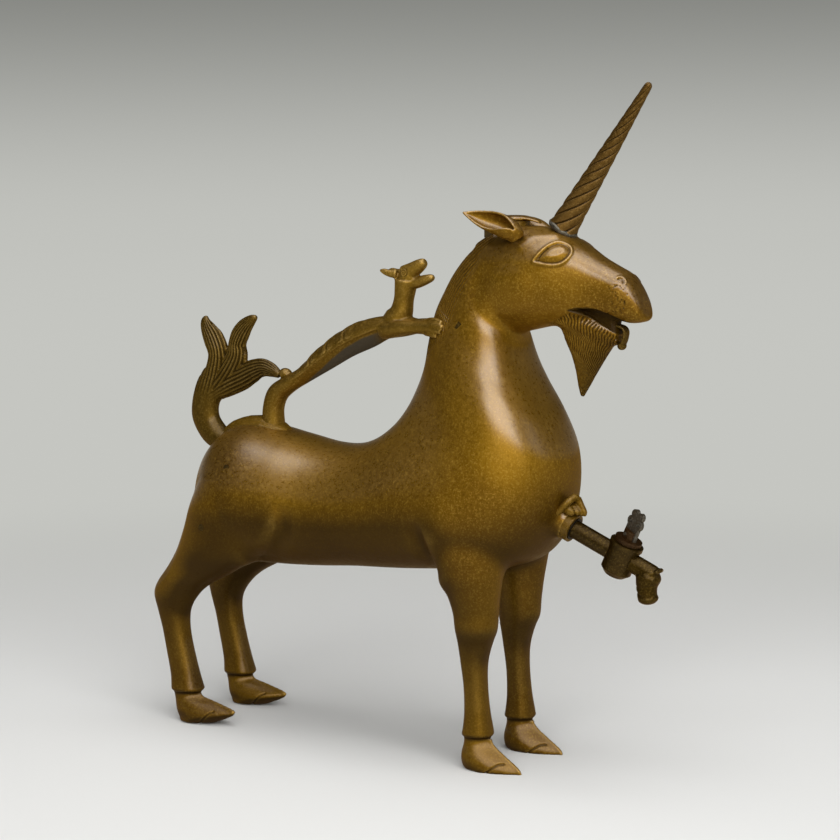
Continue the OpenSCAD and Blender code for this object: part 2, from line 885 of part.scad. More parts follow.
// The key stands along the cross hole of the plug.
module tap_key() {
    low = boss_low;
    color(dark_bronze) placed() at_tap() rotate([0, 0, key_angle])
        difference() {
            rotate([90, 0, 90]) translate([0, 0, -key_t / 2]) linear_extrude(key_t)
                difference() {
                    union() {
                        translate([-5, low]) square([10, 9]);
                        disc(-3.2, low + 10, 3);
                        disc(3.2, low + 10, 3);
                        disc(0, low + 11.4, 3.6);
                        disc(-2.5, low + 14.6, 2.5);
                        disc(2.5, low + 14.6, 2.5);
                    }
                    disc(-3.3, low + 10.2, 1.3);
                    disc(3.3, low + 10.2, 1.3);
                    disc(0, low + 17.3, 1.3);
                }
            along_rivet(30);
        }
}

module key_rivet() {
    color(dark_bronze) placed() at_tap() rotate([0, 0, key_angle]) along_rivet(9.4);
}

// Core pins, left and right: X, Z and the outer and inner ends in Y.
pin_spots = [
    [-76, 165, 41, 35],
    [-91, 128, 47, 41],
];
core_r = 2;
// Square patch on the neck, set on edge.
patch = [78, 256, 24, 19];
patch_w = 4.4;

module core_pin_holes() {
    both_sides() {
        for (p = pin_spots)
            translate([p[0], p[2] + 10, p[1]]) rotate([90, 0, 0]) cylinder(r = core_r + 0.05, h = 25, $fn = 24);
        neck_patch(patch_w + 0.1, 20);
    }
}

module neck_patch(w, out) {
    translate([patch[0], patch[3] - out / 4, patch[1]]) rotate([0, 35, 0])
        translate([-w / 2, 0, -w / 2]) cube([w, patch[2] - patch[3] + out / 2, w]);
}

module core_pins() {
    color(dark_bronze) placed() both_sides() {
        for (p = pin_spots)
            translate([p[0], p[2], p[1]]) rotate([90, 0, 0]) cylinder(r = core_r, h = p[2] - p[3], $fn = 24);
        neck_patch(patch_w, 0);
    }
}

body_shell();
head_shell();
front_leg_left();
front_leg_right();
hind_leg_left();
hind_leg_right();
ear_left();
ear_right();
tongue();
horn();
horn_seat();
tail();
rump_pad();
beast_handle();
spigot_collar();
collar_mask();
pipe_packing();
spigot_pipe();
tap_barrel();
spout_head();
tap_plug();
tap_key();
key_rivet();
core_pins();
filler_rim();
filler_lid();
lid_hinge();
lid_pin();
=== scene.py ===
"""Looks of the unicorn aquamanile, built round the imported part."""

import math

import bpy
import numpy as np
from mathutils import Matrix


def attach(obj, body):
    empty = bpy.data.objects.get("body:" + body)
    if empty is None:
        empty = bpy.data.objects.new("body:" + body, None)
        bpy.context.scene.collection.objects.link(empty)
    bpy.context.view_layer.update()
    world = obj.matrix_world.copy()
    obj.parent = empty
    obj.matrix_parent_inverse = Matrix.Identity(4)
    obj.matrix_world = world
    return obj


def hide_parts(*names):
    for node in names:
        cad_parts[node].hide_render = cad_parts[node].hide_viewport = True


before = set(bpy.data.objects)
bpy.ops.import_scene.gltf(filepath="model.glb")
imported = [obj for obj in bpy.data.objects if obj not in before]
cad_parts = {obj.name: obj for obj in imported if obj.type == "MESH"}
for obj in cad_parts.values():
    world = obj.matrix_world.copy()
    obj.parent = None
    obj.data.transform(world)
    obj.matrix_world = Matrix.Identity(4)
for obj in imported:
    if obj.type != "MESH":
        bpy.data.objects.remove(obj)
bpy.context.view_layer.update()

# Drawing sizes are in millimetres, with the middle of the length at MID_X.
MM = 0.001
MID_X = 26.7
ORIGIN = [MID_X, 0, 0]

# The first and last ring of a ball lie this far from its poles, in radians.
POLE_GAP = 0.02
BALL_SIDES = 24
# Sections of trunk and head are a little squarer than an ellipse, which would be 1.
TRUNK_ROUND = 0.92
# Farther than any distance on the object.
FAR_AWAY = 1e9


# Sections and skins

def curve(a, b, c, d, t):
    """A smooth curve through four rows, between the two in the middle."""
    return 0.5 * (
        2 * b
        + (c - a) * t
        + (2 * a - 5 * b + 4 * c - d) * t * t
        + (3 * b - a - 3 * c + d) * t * t * t
    )


def smooth_rows(table, steps):
    """The rows of a table with steps rows for each one given."""
    rows = np.array(table, dtype=float)
    top = len(rows) - 1
    out = []
    for i in range(top):
        four = (rows[max(i - 1, 0)], rows[i], rows[i + 1], rows[min(i + 2, top)])
        for k in range(steps):
            out.append(curve(*four, k / steps))
    out.append(rows[top])
    return np.array(out)


def around(n):
    return np.linspace(0, 2 * np.pi, n, endpoint=False)


def sign_pow(v, p):
    return np.sign(v) * np.abs(v) ** p


def columns(*parts):
    """Points from their X, Y and Z, where one number stands for a whole column."""
    return np.stack(np.broadcast_arrays(*parts), axis=1)


def round_ring(r, a, z):
    return columns(r * np.cos(a), r * np.sin(a), z)


def upright_ring(row, n, inset=0.0, roundness=TRUNK_ROUND):
    """A section between a back line point and a belly line point."""
    back = np.array([row[0], 0, row[1]])
    belly = np.array([row[2], 0, row[3]])
    middle = (back + belly) / 2
    reach = np.linalg.norm(back - belly) / 2
    up = (back - belly) / (2 * reach)
    a = around(n)
    c = sign_pow(np.cos(a), roundness)
    s = sign_pow(np.sin(a), roundness)
    out = middle + up * (reach - inset) * c[:, None]
    out[:, 1] += (row[4] - inset) * s * (1 - row[5] * c)
    return out


def level_ring(row, n, roundness=1.0):
    """A level section: Z, middle X, half length, middle Y, half width."""
    a = around(n)
    return columns(
        row[1] + row[2] * sign_pow(np.cos(a), roundness),
        row[3] + row[4] * sign_pow(np.sin(a), roundness),
        row[0],
    )


def stem_place(row, c, s):
    """Points across a curved stem: c is the share of its half width, s of its half thickness."""
    slope = math.radians(row[4])
    return columns(row[0] - math.sin(slope) * row[2] * c, row[3] * s, row[1] + math.cos(slope) * row[2] * c)


def stem_ring(row, n):
    """A section across a curved stem: middle X and Z, half width, half thickness in Y, slope."""
    a = around(n)
    return stem_place(row, np.cos(a), np.sin(a))


def skin(rings):
    """Points and faces of a closed skin over sections with the same number of points."""
    n = len(rings[0])
    count = len(rings)
    points = np.concatenate(list(rings) + [[rings[0].mean(0)], [rings[-1].mean(0)]])
    faces = []
    for i in range(count - 1):
        for k in range(n):
            a = i * n + k
            b = i * n + (k + 1) % n
            faces.append((a, b, b + n, a + n))
    start = count * n
    last = (count - 1) * n
    for k in range(n):
        faces.append((start, (k + 1) % n, k))
        faces.append((start + 1, last + k, last + (k + 1) % n))
    return points, faces


def skin_over(ring, table, n, steps):
    """A skin over sections of one kind through the rows of a table."""
    return skin([ring(row, n) for row in smooth_rows(table, steps)])


def mirrored(shape):
    points, faces = shape
    return points * [1, -1, 1], [tuple(reversed(f)) for f in faces]


def both(shape):
    return [shape, mirrored(shape)]


def ball(centre, size, pitch=0):
    """A stretched ball: centre, half sizes and a turn about Y in degrees."""
    a = around(BALL_SIDES)
    rings = []
    for v in np.linspace(POLE_GAP, np.pi - POLE_GAP, BALL_SIDES):
        rings.append(round_ring(np.sin(v), a, np.cos(v)))
    points, faces = skin(rings)
    x, y, z = (points * np.array(size)).T
    c = math.cos(math.radians(pitch))
    s = math.sin(math.radians(pitch))
    return columns(z * s + x * c, y, z * c - x * s) + np.array(centre), faces


def unit_ways(places):
    """The direction of a line at each of its points."""
    ways = np.gradient(places, axis=0)
    return ways / np.linalg.norm(ways, axis=1)[:, None]


def tube(path, n=24, steps=6):
    """A round rod through points with a radius each: X, Y, Z, radius."""
    rows = smooth_rows(path, steps)
    places = rows[:, :3]
    a = around(n)
    rings = []
    for place, way, r in zip(places, unit_ways(places), rows[:, 3]):
        guide = np.array([0.0, 1.0, 0.0]) if abs(way[1]) < 0.8 else np.array([1.0, 0.0, 0.0])
        first = np.cross(way, guide)
        first /= np.linalg.norm(first)
        second = np.cross(way, first)
        rings.append(place + r * (np.cos(a)[:, None] * first + np.sin(a)[:, None] * second))
    return skin(rings)


def prism(outline, low, high):
    """A bar along Y over a closed outline of X and Z."""
    x, z = np.array(outline, dtype=float).T
    return skin([columns(x, y, z) for y in (low, high)])


# Flat distances

def round_outline(points, steps=6):
    """A smooth closed line through flat points."""
    rows = [np.array(p, dtype=float) for p in points]
    wrapped = rows[-1:] + rows + rows[:2]
    out = []
    for i in range(len(rows)):
        for k in range(steps):
            out.append(curve(*wrapped[i:i + 4], k / steps))
    return np.array(out)


def nearest(spots, line):
    """Distance of flat spots from a line of points, and how far along the line they lie."""
    line = np.array(line, dtype=float)
    best = np.full(len(spots), FAR_AWAY)
    along = np.zeros(len(spots))
    run = 0.0
    for a, b in zip(line[:-1], line[1:]):
        way = b - a
        long = np.linalg.norm(way)
        t = np.clip(((spots - a) @ way) / long ** 2, 0, 1)
        gap = np.linalg.norm(spots - a - t[:, None] * way, axis=1)
        nearer = gap < best
        best = np.where(nearer, gap, best)
        along = np.where(nearer, run + t * long, along)
        run += long
    return best, along


def line_distance(spots, line):
    return nearest(spots, line)[0]


def from_side(points):
    """X and Z of points."""
    return points[:, [0, 2]]


def inside(spots, outline):
    """True for flat spots within a closed outline."""
    hit = np.zeros(len(spots), dtype=bool)
    for a, b in zip(outline, np.roll(outline, -1, axis=0)):
        crosses = (a[1] > spots[:, 1]) != (b[1] > spots[:, 1])
        drop = (b[1] - a[1]) or 1.0
        hit ^= crosses & (spots[:, 0] < a[0] + (spots[:, 1] - a[1]) * (b[0] - a[0]) / drop)
    return hit


def edge_distance(spots, outline):
    """Distance from a closed outline, below zero inside it."""
    gap = line_distance(spots, np.concatenate([outline, outline[:1]]))
    return np.where(inside(spots, outline), -gap, gap)


def step(low, high, x):
    """A smooth rise from 0 at low to 1 at high."""
    t = np.clip((x - low) / (high - low), 0, 1)
    return t * t * (3 - 2 * t)


def bell(x, width):
    return np.exp(-((x / width) ** 2))


# Meshes

def add_object(name, data):
    obj = bpy.data.objects.new(name, data)
    bpy.context.scene.collection.objects.link(obj)
    return obj


def new_object(name, shapes):
    """One mesh object from a list of shapes drawn in millimetres."""
    points = []
    faces = []
    start = 0
    for p, f in shapes:
        points.append(p)
        faces.extend([tuple(i + start for i in face) for face in f])
        start += len(p)
    points = (np.concatenate(points) - ORIGIN) * MM
    mesh = bpy.data.meshes.new(name)
    mesh.from_pydata(points.tolist(), [], faces)
    mesh.update()
    return add_object(name, mesh)


def modify(obj, kind, **settings):
    """Changes a mesh by one modifier for good."""
    modifier = obj.modifiers.new("change", kind)
    for key, value in settings.items():
        setattr(modifier, key, value)
    graph = bpy.context.evaluated_depsgraph_get()
    graph.update()
    mesh = bpy.data.meshes.new_from_object(obj.evaluated_get(graph))
    old = obj.data
    obj.modifiers.clear()
    obj.data = mesh
    bpy.data.meshes.remove(old)


def fuse(obj, voxel):
    """Melts overlapping shapes into one closed surface."""
    modify(obj, "REMESH", mode="VOXEL", voxel_size=voxel * MM, adaptivity=0, use_smooth_shade=True)


def cut(obj, shapes):
    """Takes closed shapes out of a closed object."""
    for shape in shapes:
        tool = new_object("tool", [shape])
        modify(obj, "BOOLEAN", operation="DIFFERENCE", solver="MANIFOLD", object=tool)
        bpy.data.objects.remove(tool)


def read_rows(items, field, width, kind=np.float32):
    """One field of all vertices, edges or faces, with width numbers each."""
    flat = np.empty(len(items) * width, dtype=kind)
    items.foreach_get(field, flat)
    return flat.reshape(-1, width)


def read_points(obj):
    """Vertex places in drawing millimetres."""
    return read_rows(obj.data.vertices, "co", 3).astype(float) / MM + ORIGIN


def write_points(obj, points):
    flat = ((points - ORIGIN) * MM).astype(np.float32).ravel()
    obj.data.vertices.foreach_set("co", flat)
    obj.data.update()


def read_normals(obj):
    return read_rows(obj.data.vertex_normals, "vector", 3).astype(float)


def read_edges(obj):
    return read_rows(obj.data.edges, "vertices", 2, np.int32)


def neighbour_mean(points, edges):
    """Mean place of each vertex's neighbours."""
    count = len(points)
    a, b = edges.T
    degree = np.bincount(a, minlength=count) + np.bincount(b, minlength=count)
    degree = np.maximum(degree, 1)
    means = []
    for values in points.T:
        means.append((np.bincount(a, values[b], count) + np.bincount(b, values[a], count)) / degree)
    return np.stack(means, axis=1)


def relax(obj, times, share=None):
    """Smooths a mesh, by share (0 to 1 for each vertex) where it is given."""
    points = read_points(obj)
    edges = read_edges(obj)
    weight = 0.5 if share is None else (0.5 * share)[:, None]
    for _ in range(times):
        points = points + weight * (neighbour_mean(points, edges) - points)
    write_points(obj, points)


def fill_creases(obj, times, share):
    """Fills hollow creases into soft webs, where share allows it."""
    eager = 0.9
    fresh_normals = 10
    points = read_points(obj)
    edges = read_edges(obj)
    normals = read_normals(obj)
    for i in range(times):
        pull = neighbour_mean(points, edges) - points
        rise = (pull * normals).sum(1)
        lift = np.where(rise > 0, rise, 0.0) * share * eager
        points = points + normals * lift[:, None]
        if i % fresh_normals == fresh_normals - 1:
            write_points(obj, points)
            normals = read_normals(obj)
    write_points(obj, points)


def push(obj, heights):
    """Moves each vertex along its normal by a height in millimetres."""
    points = read_points(obj)
    normals = read_normals(obj)
    write_points(obj, points + normals * heights[:, None])


def refine(obj, chosen):
    """Divides the faces whose middle is chosen, once."""
    mesh = obj.data
    middles = read_rows(mesh.polygons, "center", 3).astype(float) / MM + ORIGIN
    mesh.polygons.foreach_set("select", chosen(middles).astype(bool))
    for items in (mesh.vertices, mesh.edges):
        items.foreach_set("select", np.zeros(len(items), dtype=bool))
    for other in bpy.context.selected_objects:
        other.select_set(False)
    obj.select_set(True)
    bpy.context.view_layer.objects.active = obj
    bpy.ops.object.mode_set(mode="EDIT")
    bpy.ops.mesh.select_mode(type="FACE")
    bpy.ops.mesh.subdivide(number_cuts=1)
    bpy.ops.object.mode_set(mode="OBJECT")


def cast(name, shapes, voxel, smoothing):
    """Shapes melted into one object and smoothed."""
    obj = new_object(name, shapes)
    fuse(obj, voxel)
    relax(obj, smoothing)
    return obj


# Wear and painted shade

def set_layer(obj, name, values):
    """Stores a number for each vertex, for the material to read."""
    layer = obj.data.attributes.get(name)
    if layer is None:
        layer = obj.data.attributes.new(name, "FLOAT", "POINT")
    layer.data.foreach_set("value", values.astype(np.float32))


def paint_side_shade(obj):
    """Painted shade: low parts and sides that face the floor lose the lacquer's sheen, so they reflect less
    of the floor.
    """
    low = 0.7 * step(130, 100, read_points(obj)[:, 2])
    set_layer(obj, "side_shade", np.maximum(low, step(0.44, 0.14, read_normals(obj)[:, 2])))


def mark_wear(obj, reach, extra=0.0):
    """Stores how sunken (grime, with painted shade in the hollows) and how proud (rub) each vertex lies, in
    millimetres of relief.
    """
    slight = 0.03
    strong = 0.5
    points = read_points(obj)
    edges = read_edges(obj)
    wide = points
    for _ in range(reach):
        wide = neighbour_mean(wide, edges)
    sunk = ((wide - points) * read_normals(obj)).sum(1)
    set_layer(obj, "grime_and_shade", np.clip(step(slight, strong, sunk) + extra, 0, 1))
    set_layer(obj, "rub", step(slight, strong, -sunk))


# Sections, the same as in the part or close to them

# Trunk, head and jaw: X and Z of back and belly, half width, how much narrower the back is.
TRUNK = [
    [-118, 162, -119, 143, 5, 0],
    [-114.5, 169.5, -118, 127, 17, 0.05],
    [-107, 178, -112, 113, 29, 0.08],
    [-95, 185.5, -100, 106, 40, 0.10],
    [-76, 188, -81, 103, 47, 0.10],
    [-51, 184, -55, 103, 46.5, 0.08],
    [-26, 180, -27, 104.5, 44, 0.08],
    [-6, 180.5, 0, 107, 44, 0.10],
    [11, 186, 32, 109, 46, 0.14],
    [25, 196, 64, 112, 48, 0.20],
    [34, 207.5, 94, 115, 48, 0.26],
    [40, 220, 117, 122, 46, 0.30],
    [44, 232, 130, 138, 43, 0.32],
    [46, 244, 136, 158, 40, 0.32],
    [48, 255, 136, 179, 36.5, 0.32],
    [51, 265, 129, 198, 32, 0.30],
    [56, 275, 120, 213, 28, 0.28],
    [62, 285, 112, 228, 25, 0.25],
    [70, 295, 106, 244, 22.5, 0.20],
    [80, 304, 104, 254, 20, 0.15],
]
SKULL = [
    [77, 303, 98, 255, 17, 0.05],
    [88, 309, 104.5, 252.5, 21, 0.08],
    [103, 313, 113, 254, 23.5, 0.10],
    [117, 313.5, 124, 256.5, 24, 0.05],
    [131, 311, 134, 258, 22.5, 0],
    [144, 304.5, 143, 260, 19.5, 0],
    [156, 297, 151, 262, 16.5, 0],
    [166, 292, 160, 263, 14.5, 0],
    [173, 288.5, 169, 262, 13.5, 0],
    [178.5, 283, 177, 260.6, 11.5, 0],
    [182, 276.6, 184.6, 261.8, 9, 0],
    [183.4, 273, 186.2, 263.2, 6.4, 0],
]
JAW = [
    [126, 270, 124, 258, 12, 0],
    [138, 268, 136, 256, 12, 0],
    [150, 265, 148, 251.5, 10.5, 0],
    [161, 261.6, 159, 248.5, 8.2, 0],
    [169, 257.4, 168, 247.5, 5, 0],
]
# Dark flesh inside the mouth.
GUM = [
    [138, 270, 137, 256, 7, 0],
    [150, 270, 149, 252, 7, 0],
    [160, 268, 159, 250, 6.2, 0],
    [168, 266, 167, 249, 4.2, 0],
]
# Beard and limbs: Z, middle X, half length, middle Y, half width.
BEARD = [
    [257, 149, 18, 0, 8],
    [249, 149.8, 15.5, 0, 7.5],
    [241, 149.2, 11, 0, 6.4],
    [232, 147.8, 6.8, 0, 4.6],
    [224, 146.2, 3.8, 0, 3],
    [217, 145, 1, 0, 1],
]
FRONT_LIMB = [
    [150, 84, 30, 22, 20],
    [132, 84, 27, 25, 20],
    [116, 86.5, 21, 26, 17.5],
    [104, 89, 16.5, 26, 14.5],
    [92, 90.5, 13.8, 25.5, 12.5],
    [82, 90.8, 12.8, 25.5, 11.5],
    [74, 90, 10.6, 25, 10.3],
    [62, 89.5, 8.2, 25, 9],
    [48, 90.5, 7.2, 25, 8.2],
    [34, 91.5, 7.8, 25, 8.4],
    [25, 92, 9, 25, 9.5],
    [20, 92, 10, 25, 10.2],
]
HIND_LIMB = [
    [158, -78, 25, 26, 18],
    [140, -80, 30, 29, 18.5],
    [124, -84, 31, 30, 17],
    [110, -92, 29, 30, 15.5],
    [98, -105.5, 24, 29, 13],
    [88, -119, 18.8, 28.5, 11],
    [80, -125.5, 15.8, 28, 10.3],
    [70, -127.5, 11.5, 27.5, 9.5],
    [58, -126, 9.4, 27.5, 8.8],
    [44, -123, 9.6, 27.5, 8.4],
    [30, -119.5, 10, 27.5, 9],
    [20, -117.5, 11.4, 27.5, 10.2],
]
# A hoof section: Z at heel and toe, heel X, toe X, middle Y, half width.
FRONT_HOOF = [
    [19.4, 19.4, 84, 100, 25, 8],
    [15, 14.4, 83.6, 102.4, 25, 8.2],
    [8, 8.4, 82, 110.6, 25, 10.6],
    [2.6, 3.4, 82.4, 118, 25, 10.6],
    [0, 0, 83.8, 121, 25, 9.8],
]
HIND_HOOF = [
    [19.4, 19.4, -127, -108, 27.5, 8.2],
    [14, 16, -126, -105.4, 27.5, 8.2],
    [7, 13, -125, -93, 27.5, 10.2],
    [2.5, 8.6, -123.5, -81, 27.5, 10.2],
    [0, 1, -122.5, -97, 27.5, 9],
]
# Ear: X, Y, Z, radius and half of its opening in degrees.
EAR = [
    [112, 17.2, 306.6, 4.2, 0],
    [110.4, 18.6, 309.8, 5.6, 0],
    [107.2, 20, 312.4, 6.4, 20],
    [101.8, 21.8, 315, 6.4, 56],
    [95, 23.7, 317.2, 5.6, 80],
    [88.5, 25.2, 319.4, 3.8, 95],
    [81.6, 26.6, 321.3, 0.7, 105],
]
# Tail and handle: middle X and Z, half width, half thickness in Y, slope in degrees.
TAIL_STEM = [
    [-106, 174, 7.4, 7.5, 150],
    [-115, 179, 8.8, 7.5, 124],
    [-122, 189, 9.6, 6.5, 98],
    [-121.6, 200, 9.8, 6, 80],
    [-116, 210, 11.5, 6, 68],
    [-110, 218, 11, 5.5, 64],
]
TUFT_BACK = [
    [-117, 205, 9, 5.5, 80],
    [-113.4, 218, 8.8, 5.5, 92],
    [-111.6, 229.6, 7.8, 5, 104],
    [-115.4, 239, 7.6, 4.2, 116],
    [-119.6, 245.8, 5.6, 3.2, 112],
    [-121.4, 250.4, 3.2, 2.2, 88],
    [-120.8, 253, 1, 1, 75],
]
TUFT_MIDDLE = [
    [-112, 208, 9, 5.5, 62],
    [-103, 219, 9, 5.5, 62],
    [-97.2, 229, 7.8, 5.2, 75],
    [-97, 236, 6.4, 4.8, 84],
    [-94.6, 242.4, 6.4, 4.4, 66],
    [-90.4, 248, 5.2, 3.6, 48],
    [-85.2, 252.2, 3.2, 2.6, 35],
    [-82, 254, 1.2, 1.2, 30],
]
TUFT_FRONT = [
    [-116, 204, 6, 5, 50],
    [-104, 211, 8, 5.4, 30],
    [-92, 216.4, 8.2, 5, 18],
    [-83.6, 220.4, 7.2, 4.6, 14],
    [-76.4, 222.6, 5.6, 4.2, 2],
    [-69.6, 221, 4.2, 3.6, -22],
    [-64.6, 218.4, 2, 2.2, -30],
]
HANDLE = [
    [-69.5, 188, 6.8, 7.5, 88],
    [-69.6, 198, 6.6, 6.8, 86],
    [-66, 207.4, 6.6, 6.6, 58],
    [-57, 213.8, 5.4, 6.6, 34],
    [-45, 220.4, 5.4, 7, 35],
    [-30, 230.6, 7.4, 8, 36],
    [-14, 240.4, 8.4, 8.5, 28],
    [2, 247.4, 8.6, 9, 21],
    [16, 252, 6.6, 8.8, 10],
    [28, 253.6, 5, 7.6, 4],
    [38, 253.8, 3, 5.6, 0],
]
# Neck, jaws and ear of the beast: X, Y, Z and radius.
BEAST_NECK = [
    [15, 0, 252, 6.6],
    [20.6, 0, 256, 8.2],
    [24, 0, 261, 7],
    [25.6, 0, 268, 6],
    [26.6, 0, 274, 6.4],
    [27.4, 0, 280, 7],
]
BEAST_MUZZLE = [
    [27, 0, 283, 6],
    [32, 0, 286, 4.8],
    [36.4, 0, 288.6, 4],
    [39.4, 0, 290.4, 3],
    [40.8, 0, 291.2, 1.8],
]
BEAST_JAW = [
    [29, 0, 278.6, 4.6],
    [35, 0, 278.8, 3.6],
    [41, 0, 280.6, 3],
    [45, 0, 281.8, 2.2],
    [46.6, 0, 282.2, 1.2],
]
BEAST_EAR = [
    [23, 3.4, 283.6, 2.9],
    [18.6, 4.4, 283.9, 2.3],
    [14.6, 4.8, 285, 1.7],
    [12.2, 5, 285.6, 0.7],
]
# Foreleg and toes of the beast: X, Y, Z and radius.
FORELEG = [
    [14, 4, 249.6, 5],
    [22, 7, 250.8, 5],
    [32, 10.5, 252.6, 4.3],
    [42, 12, 253.4, 3.9],
    [50, 13.4, 253.8, 4.4],
    [56, 16, 253.6, 4],
    [60, 18, 253.4, 3],
]
TOES = [
    [[50, 12.6, 257.4, 2], [57, 16, 258, 2.1], [63.6, 18.9, 257, 1.6]],
    [[50, 14.6, 255.4, 2], [58, 18.2, 255.8, 2.1], [65.2, 20.6, 254.7, 1.6]],
    [[50, 14.8, 252.9, 2], [57.5, 18.4, 253, 2.1], [64, 20.7, 252.2, 1.6]],
    [[49.5, 13.6, 250.6, 1.9], [55.5, 17.4, 250.4, 1.9], [60.5, 19.6, 249.5, 1.4]],
]
# Mask: sections as on the tail.
MASK = [
    [129, 152, 5.4, 7.5, -10],
    [135, 152.6, 5.2, 7.4, -25],
    [140, 152.6, 4.4, 5.8, -40],
    [144.4, 151.2, 2.8, 3.2, -45],
    [147, 150, 1.2, 1.6, -45],
]
# Brow band of one side of the mask, and its nose ridge: X, Y, Z and radius.
MASK_BROW = [
    [131.5, 9, 148, 1.4],
    [135.4, 8.4, 152.6, 1.9],
    [139.6, 7, 157.4, 2.1],
    [142, 3, 160.2, 2.1],
    [143, 0.8, 159, 1.9],
]
MASK_NOSE = [
    [142.4, 0, 159.4, 2.2],
    [145, 0, 154.8, 2],
    [147, 0, 151.4, 1.7],
    [146.6, 0, 149.4, 1.1],
]
# Spout: sections as on the beard.
SPOUT = [
    [123, 186.5, 6, 0, 4.5],
    [120.5, 187.2, 7, 0, 6],
    [117, 187.8, 7.2, 0, 6.8],
    [112.6, 186.8, 6.2, 0, 5.6],
    [109, 187, 5.8, 0, 5.4],
    [106.4, 187.6, 6, 0, 5.6],
    [104, 187.2, 4.8, 0, 4.4],
    [102.8, 187, 2.4, 0, 2.2],
]


def hoof_ring(row, n):
    """A slanting section of a hoof that narrows toward the toe."""
    a = around(n)
    along = (np.cos(a) + 1) / 2
    narrow = 1 - 0.72 * along ** 2
    return columns(
        row[2] + (row[3] - row[2]) * along,
        row[4] + row[5] * np.sin(a) * narrow,
        row[0] + (row[1] - row[0]) * along,
    )


def leg_shape(limb, hoof):
    """A round limb with a slimmer, squarer shin, and its hoof."""
    n = 72
    rings = []
    for row in smooth_rows(limb, 8):
        shin = step(86, 60, row[0])
        slim = 1 - 0.11 * shin
        rings.append(level_ring(row * [1, 1, slim, 1, slim], n, 1 - 0.26 * shin))
    rings.extend([hoof_ring(row, n) for row in smooth_rows(hoof, 4)])
    return skin(rings)


# Camera and lamps, in metres

CAMERA_AT = (0.6916, -1.0957, 0.3558)
CAMERA_AIM = (0.01017, 0.0, 0.19734)
SENSOR = 36
LENS = 94.04


def aim_at(obj, place, aim):
    """Puts a camera or a lamp at a place, facing an aim."""
    back = np.array(place) - np.array(aim)
    pan = math.atan2(back[0], -back[1])
    tilt = math.atan2(back[2], math.hypot(back[0], back[1]))
    obj.location = place
    obj.rotation_euler = (math.pi / 2 - tilt, 0, pan)


def add_camera():
    data = bpy.data.cameras.new("camera")
    data.sensor_width = SENSOR
    data.lens = LENS
    data.clip_start = 0.05
    data.clip_end = 60
    camera = add_object("camera", data)
    aim_at(camera, CAMERA_AT, CAMERA_AIM)
    bpy.context.scene.camera = camera


def add_lamp(name, place, aim, size, power):
    data = bpy.data.lights.new(name, "AREA")
    data.shape = "RECTANGLE"
    data.size, data.size_y = size
    data.energy = power
    aim_at(add_object(name, data), place, aim)


# Floor and backdrop

class Nodes:
    """Short names for building a node tree."""

    def __init__(self, tree):
        self.tree = tree
        tree.nodes.clear()

    def add(self, kind, inputs=None, **settings):
        """A new node, with inputs set to a value or a colour, or linked to an output."""
        node = self.tree.nodes.new(kind)
        for key, value in settings.items():
            setattr(node, key, value)
        for key, value in (inputs or {}).items():
            socket = node.inputs[key]
            if isinstance(value, bpy.types.NodeSocket):
                self.tree.links.new(value, socket)
            elif isinstance(value, tuple):
                socket.default_value = (*value, 1.0)
            else:
                socket.default_value = value
        return node

    def number(self, operation, a, b, clamp=False):
        return self.add("ShaderNodeMath", {0: a, 1: b}, operation=operation, use_clamp=clamp).outputs[0]

    def part(self, value, share):
        return self.number("MULTIPLY", value, share)

    def plus(self, total, value, share):
        return self.number("ADD", total, self.part(value, share))

    def larger(self, a, b):
        return self.number("MAXIMUM", a, b)

    def span(self, value, low, high, to_low=0.0, to_high=1.0):
        """A smooth change from to_low to to_high while the value goes from low to high."""
        inputs = {"Value": value, "From Min": low, "From Max": high, "To Min": to_low, "To Max": to_high}
        return self.add("ShaderNodeMapRange", inputs, interpolation_type="SMOOTHSTEP").outputs["Result"]

    def blend(self, share, a, b):
        """One colour turning into another. Inputs 6 and 7 are the two colours."""
        return self.add("ShaderNodeMix", {"Factor": share, 6: a, 7: b}, data_type="RGBA").outputs[2]

    def noise(self, where, scale, detail, rough, twist=0.0):
        shape = {"Scale": scale, "Detail": detail, "Roughness": rough, "Distortion": twist}
        return self.add("ShaderNodeTexNoise", {"Vector": where, **shape}).outputs["Fac"]

    def cells(self, where, scale):
        return self.add("ShaderNodeTexVoronoi", {"Vector": where, "Scale": scale}).outputs["Distance"]

    def layer(self, name):
        return self.add("ShaderNodeAttribute", attribute_name=name).outputs["Fac"]


# The floor shows shadows near the object and turns into the plain backdrop farther out.
FLOOR_R = 9.0
FLOOR_SIDES = 96
FADE_FROM = 0.25
FADE_TO = 1.0
FLOOR_PAINT = (0.74, 0.74, 0.725)
# The backdrop as the camera and the metal see it.
NEAR = (0.56, 0.565, 0.535)
HORIZON = (0.53, 0.535, 0.505)
ZENITH = (0.20, 0.203, 0.188)
CEILING = (0.012, 0.012, 0.011)
# The dim room that lights the object.
ROOM_LOW = (0.2, 0.2, 0.19)
ROOM_HIGH = (0.05, 0.05, 0.047)


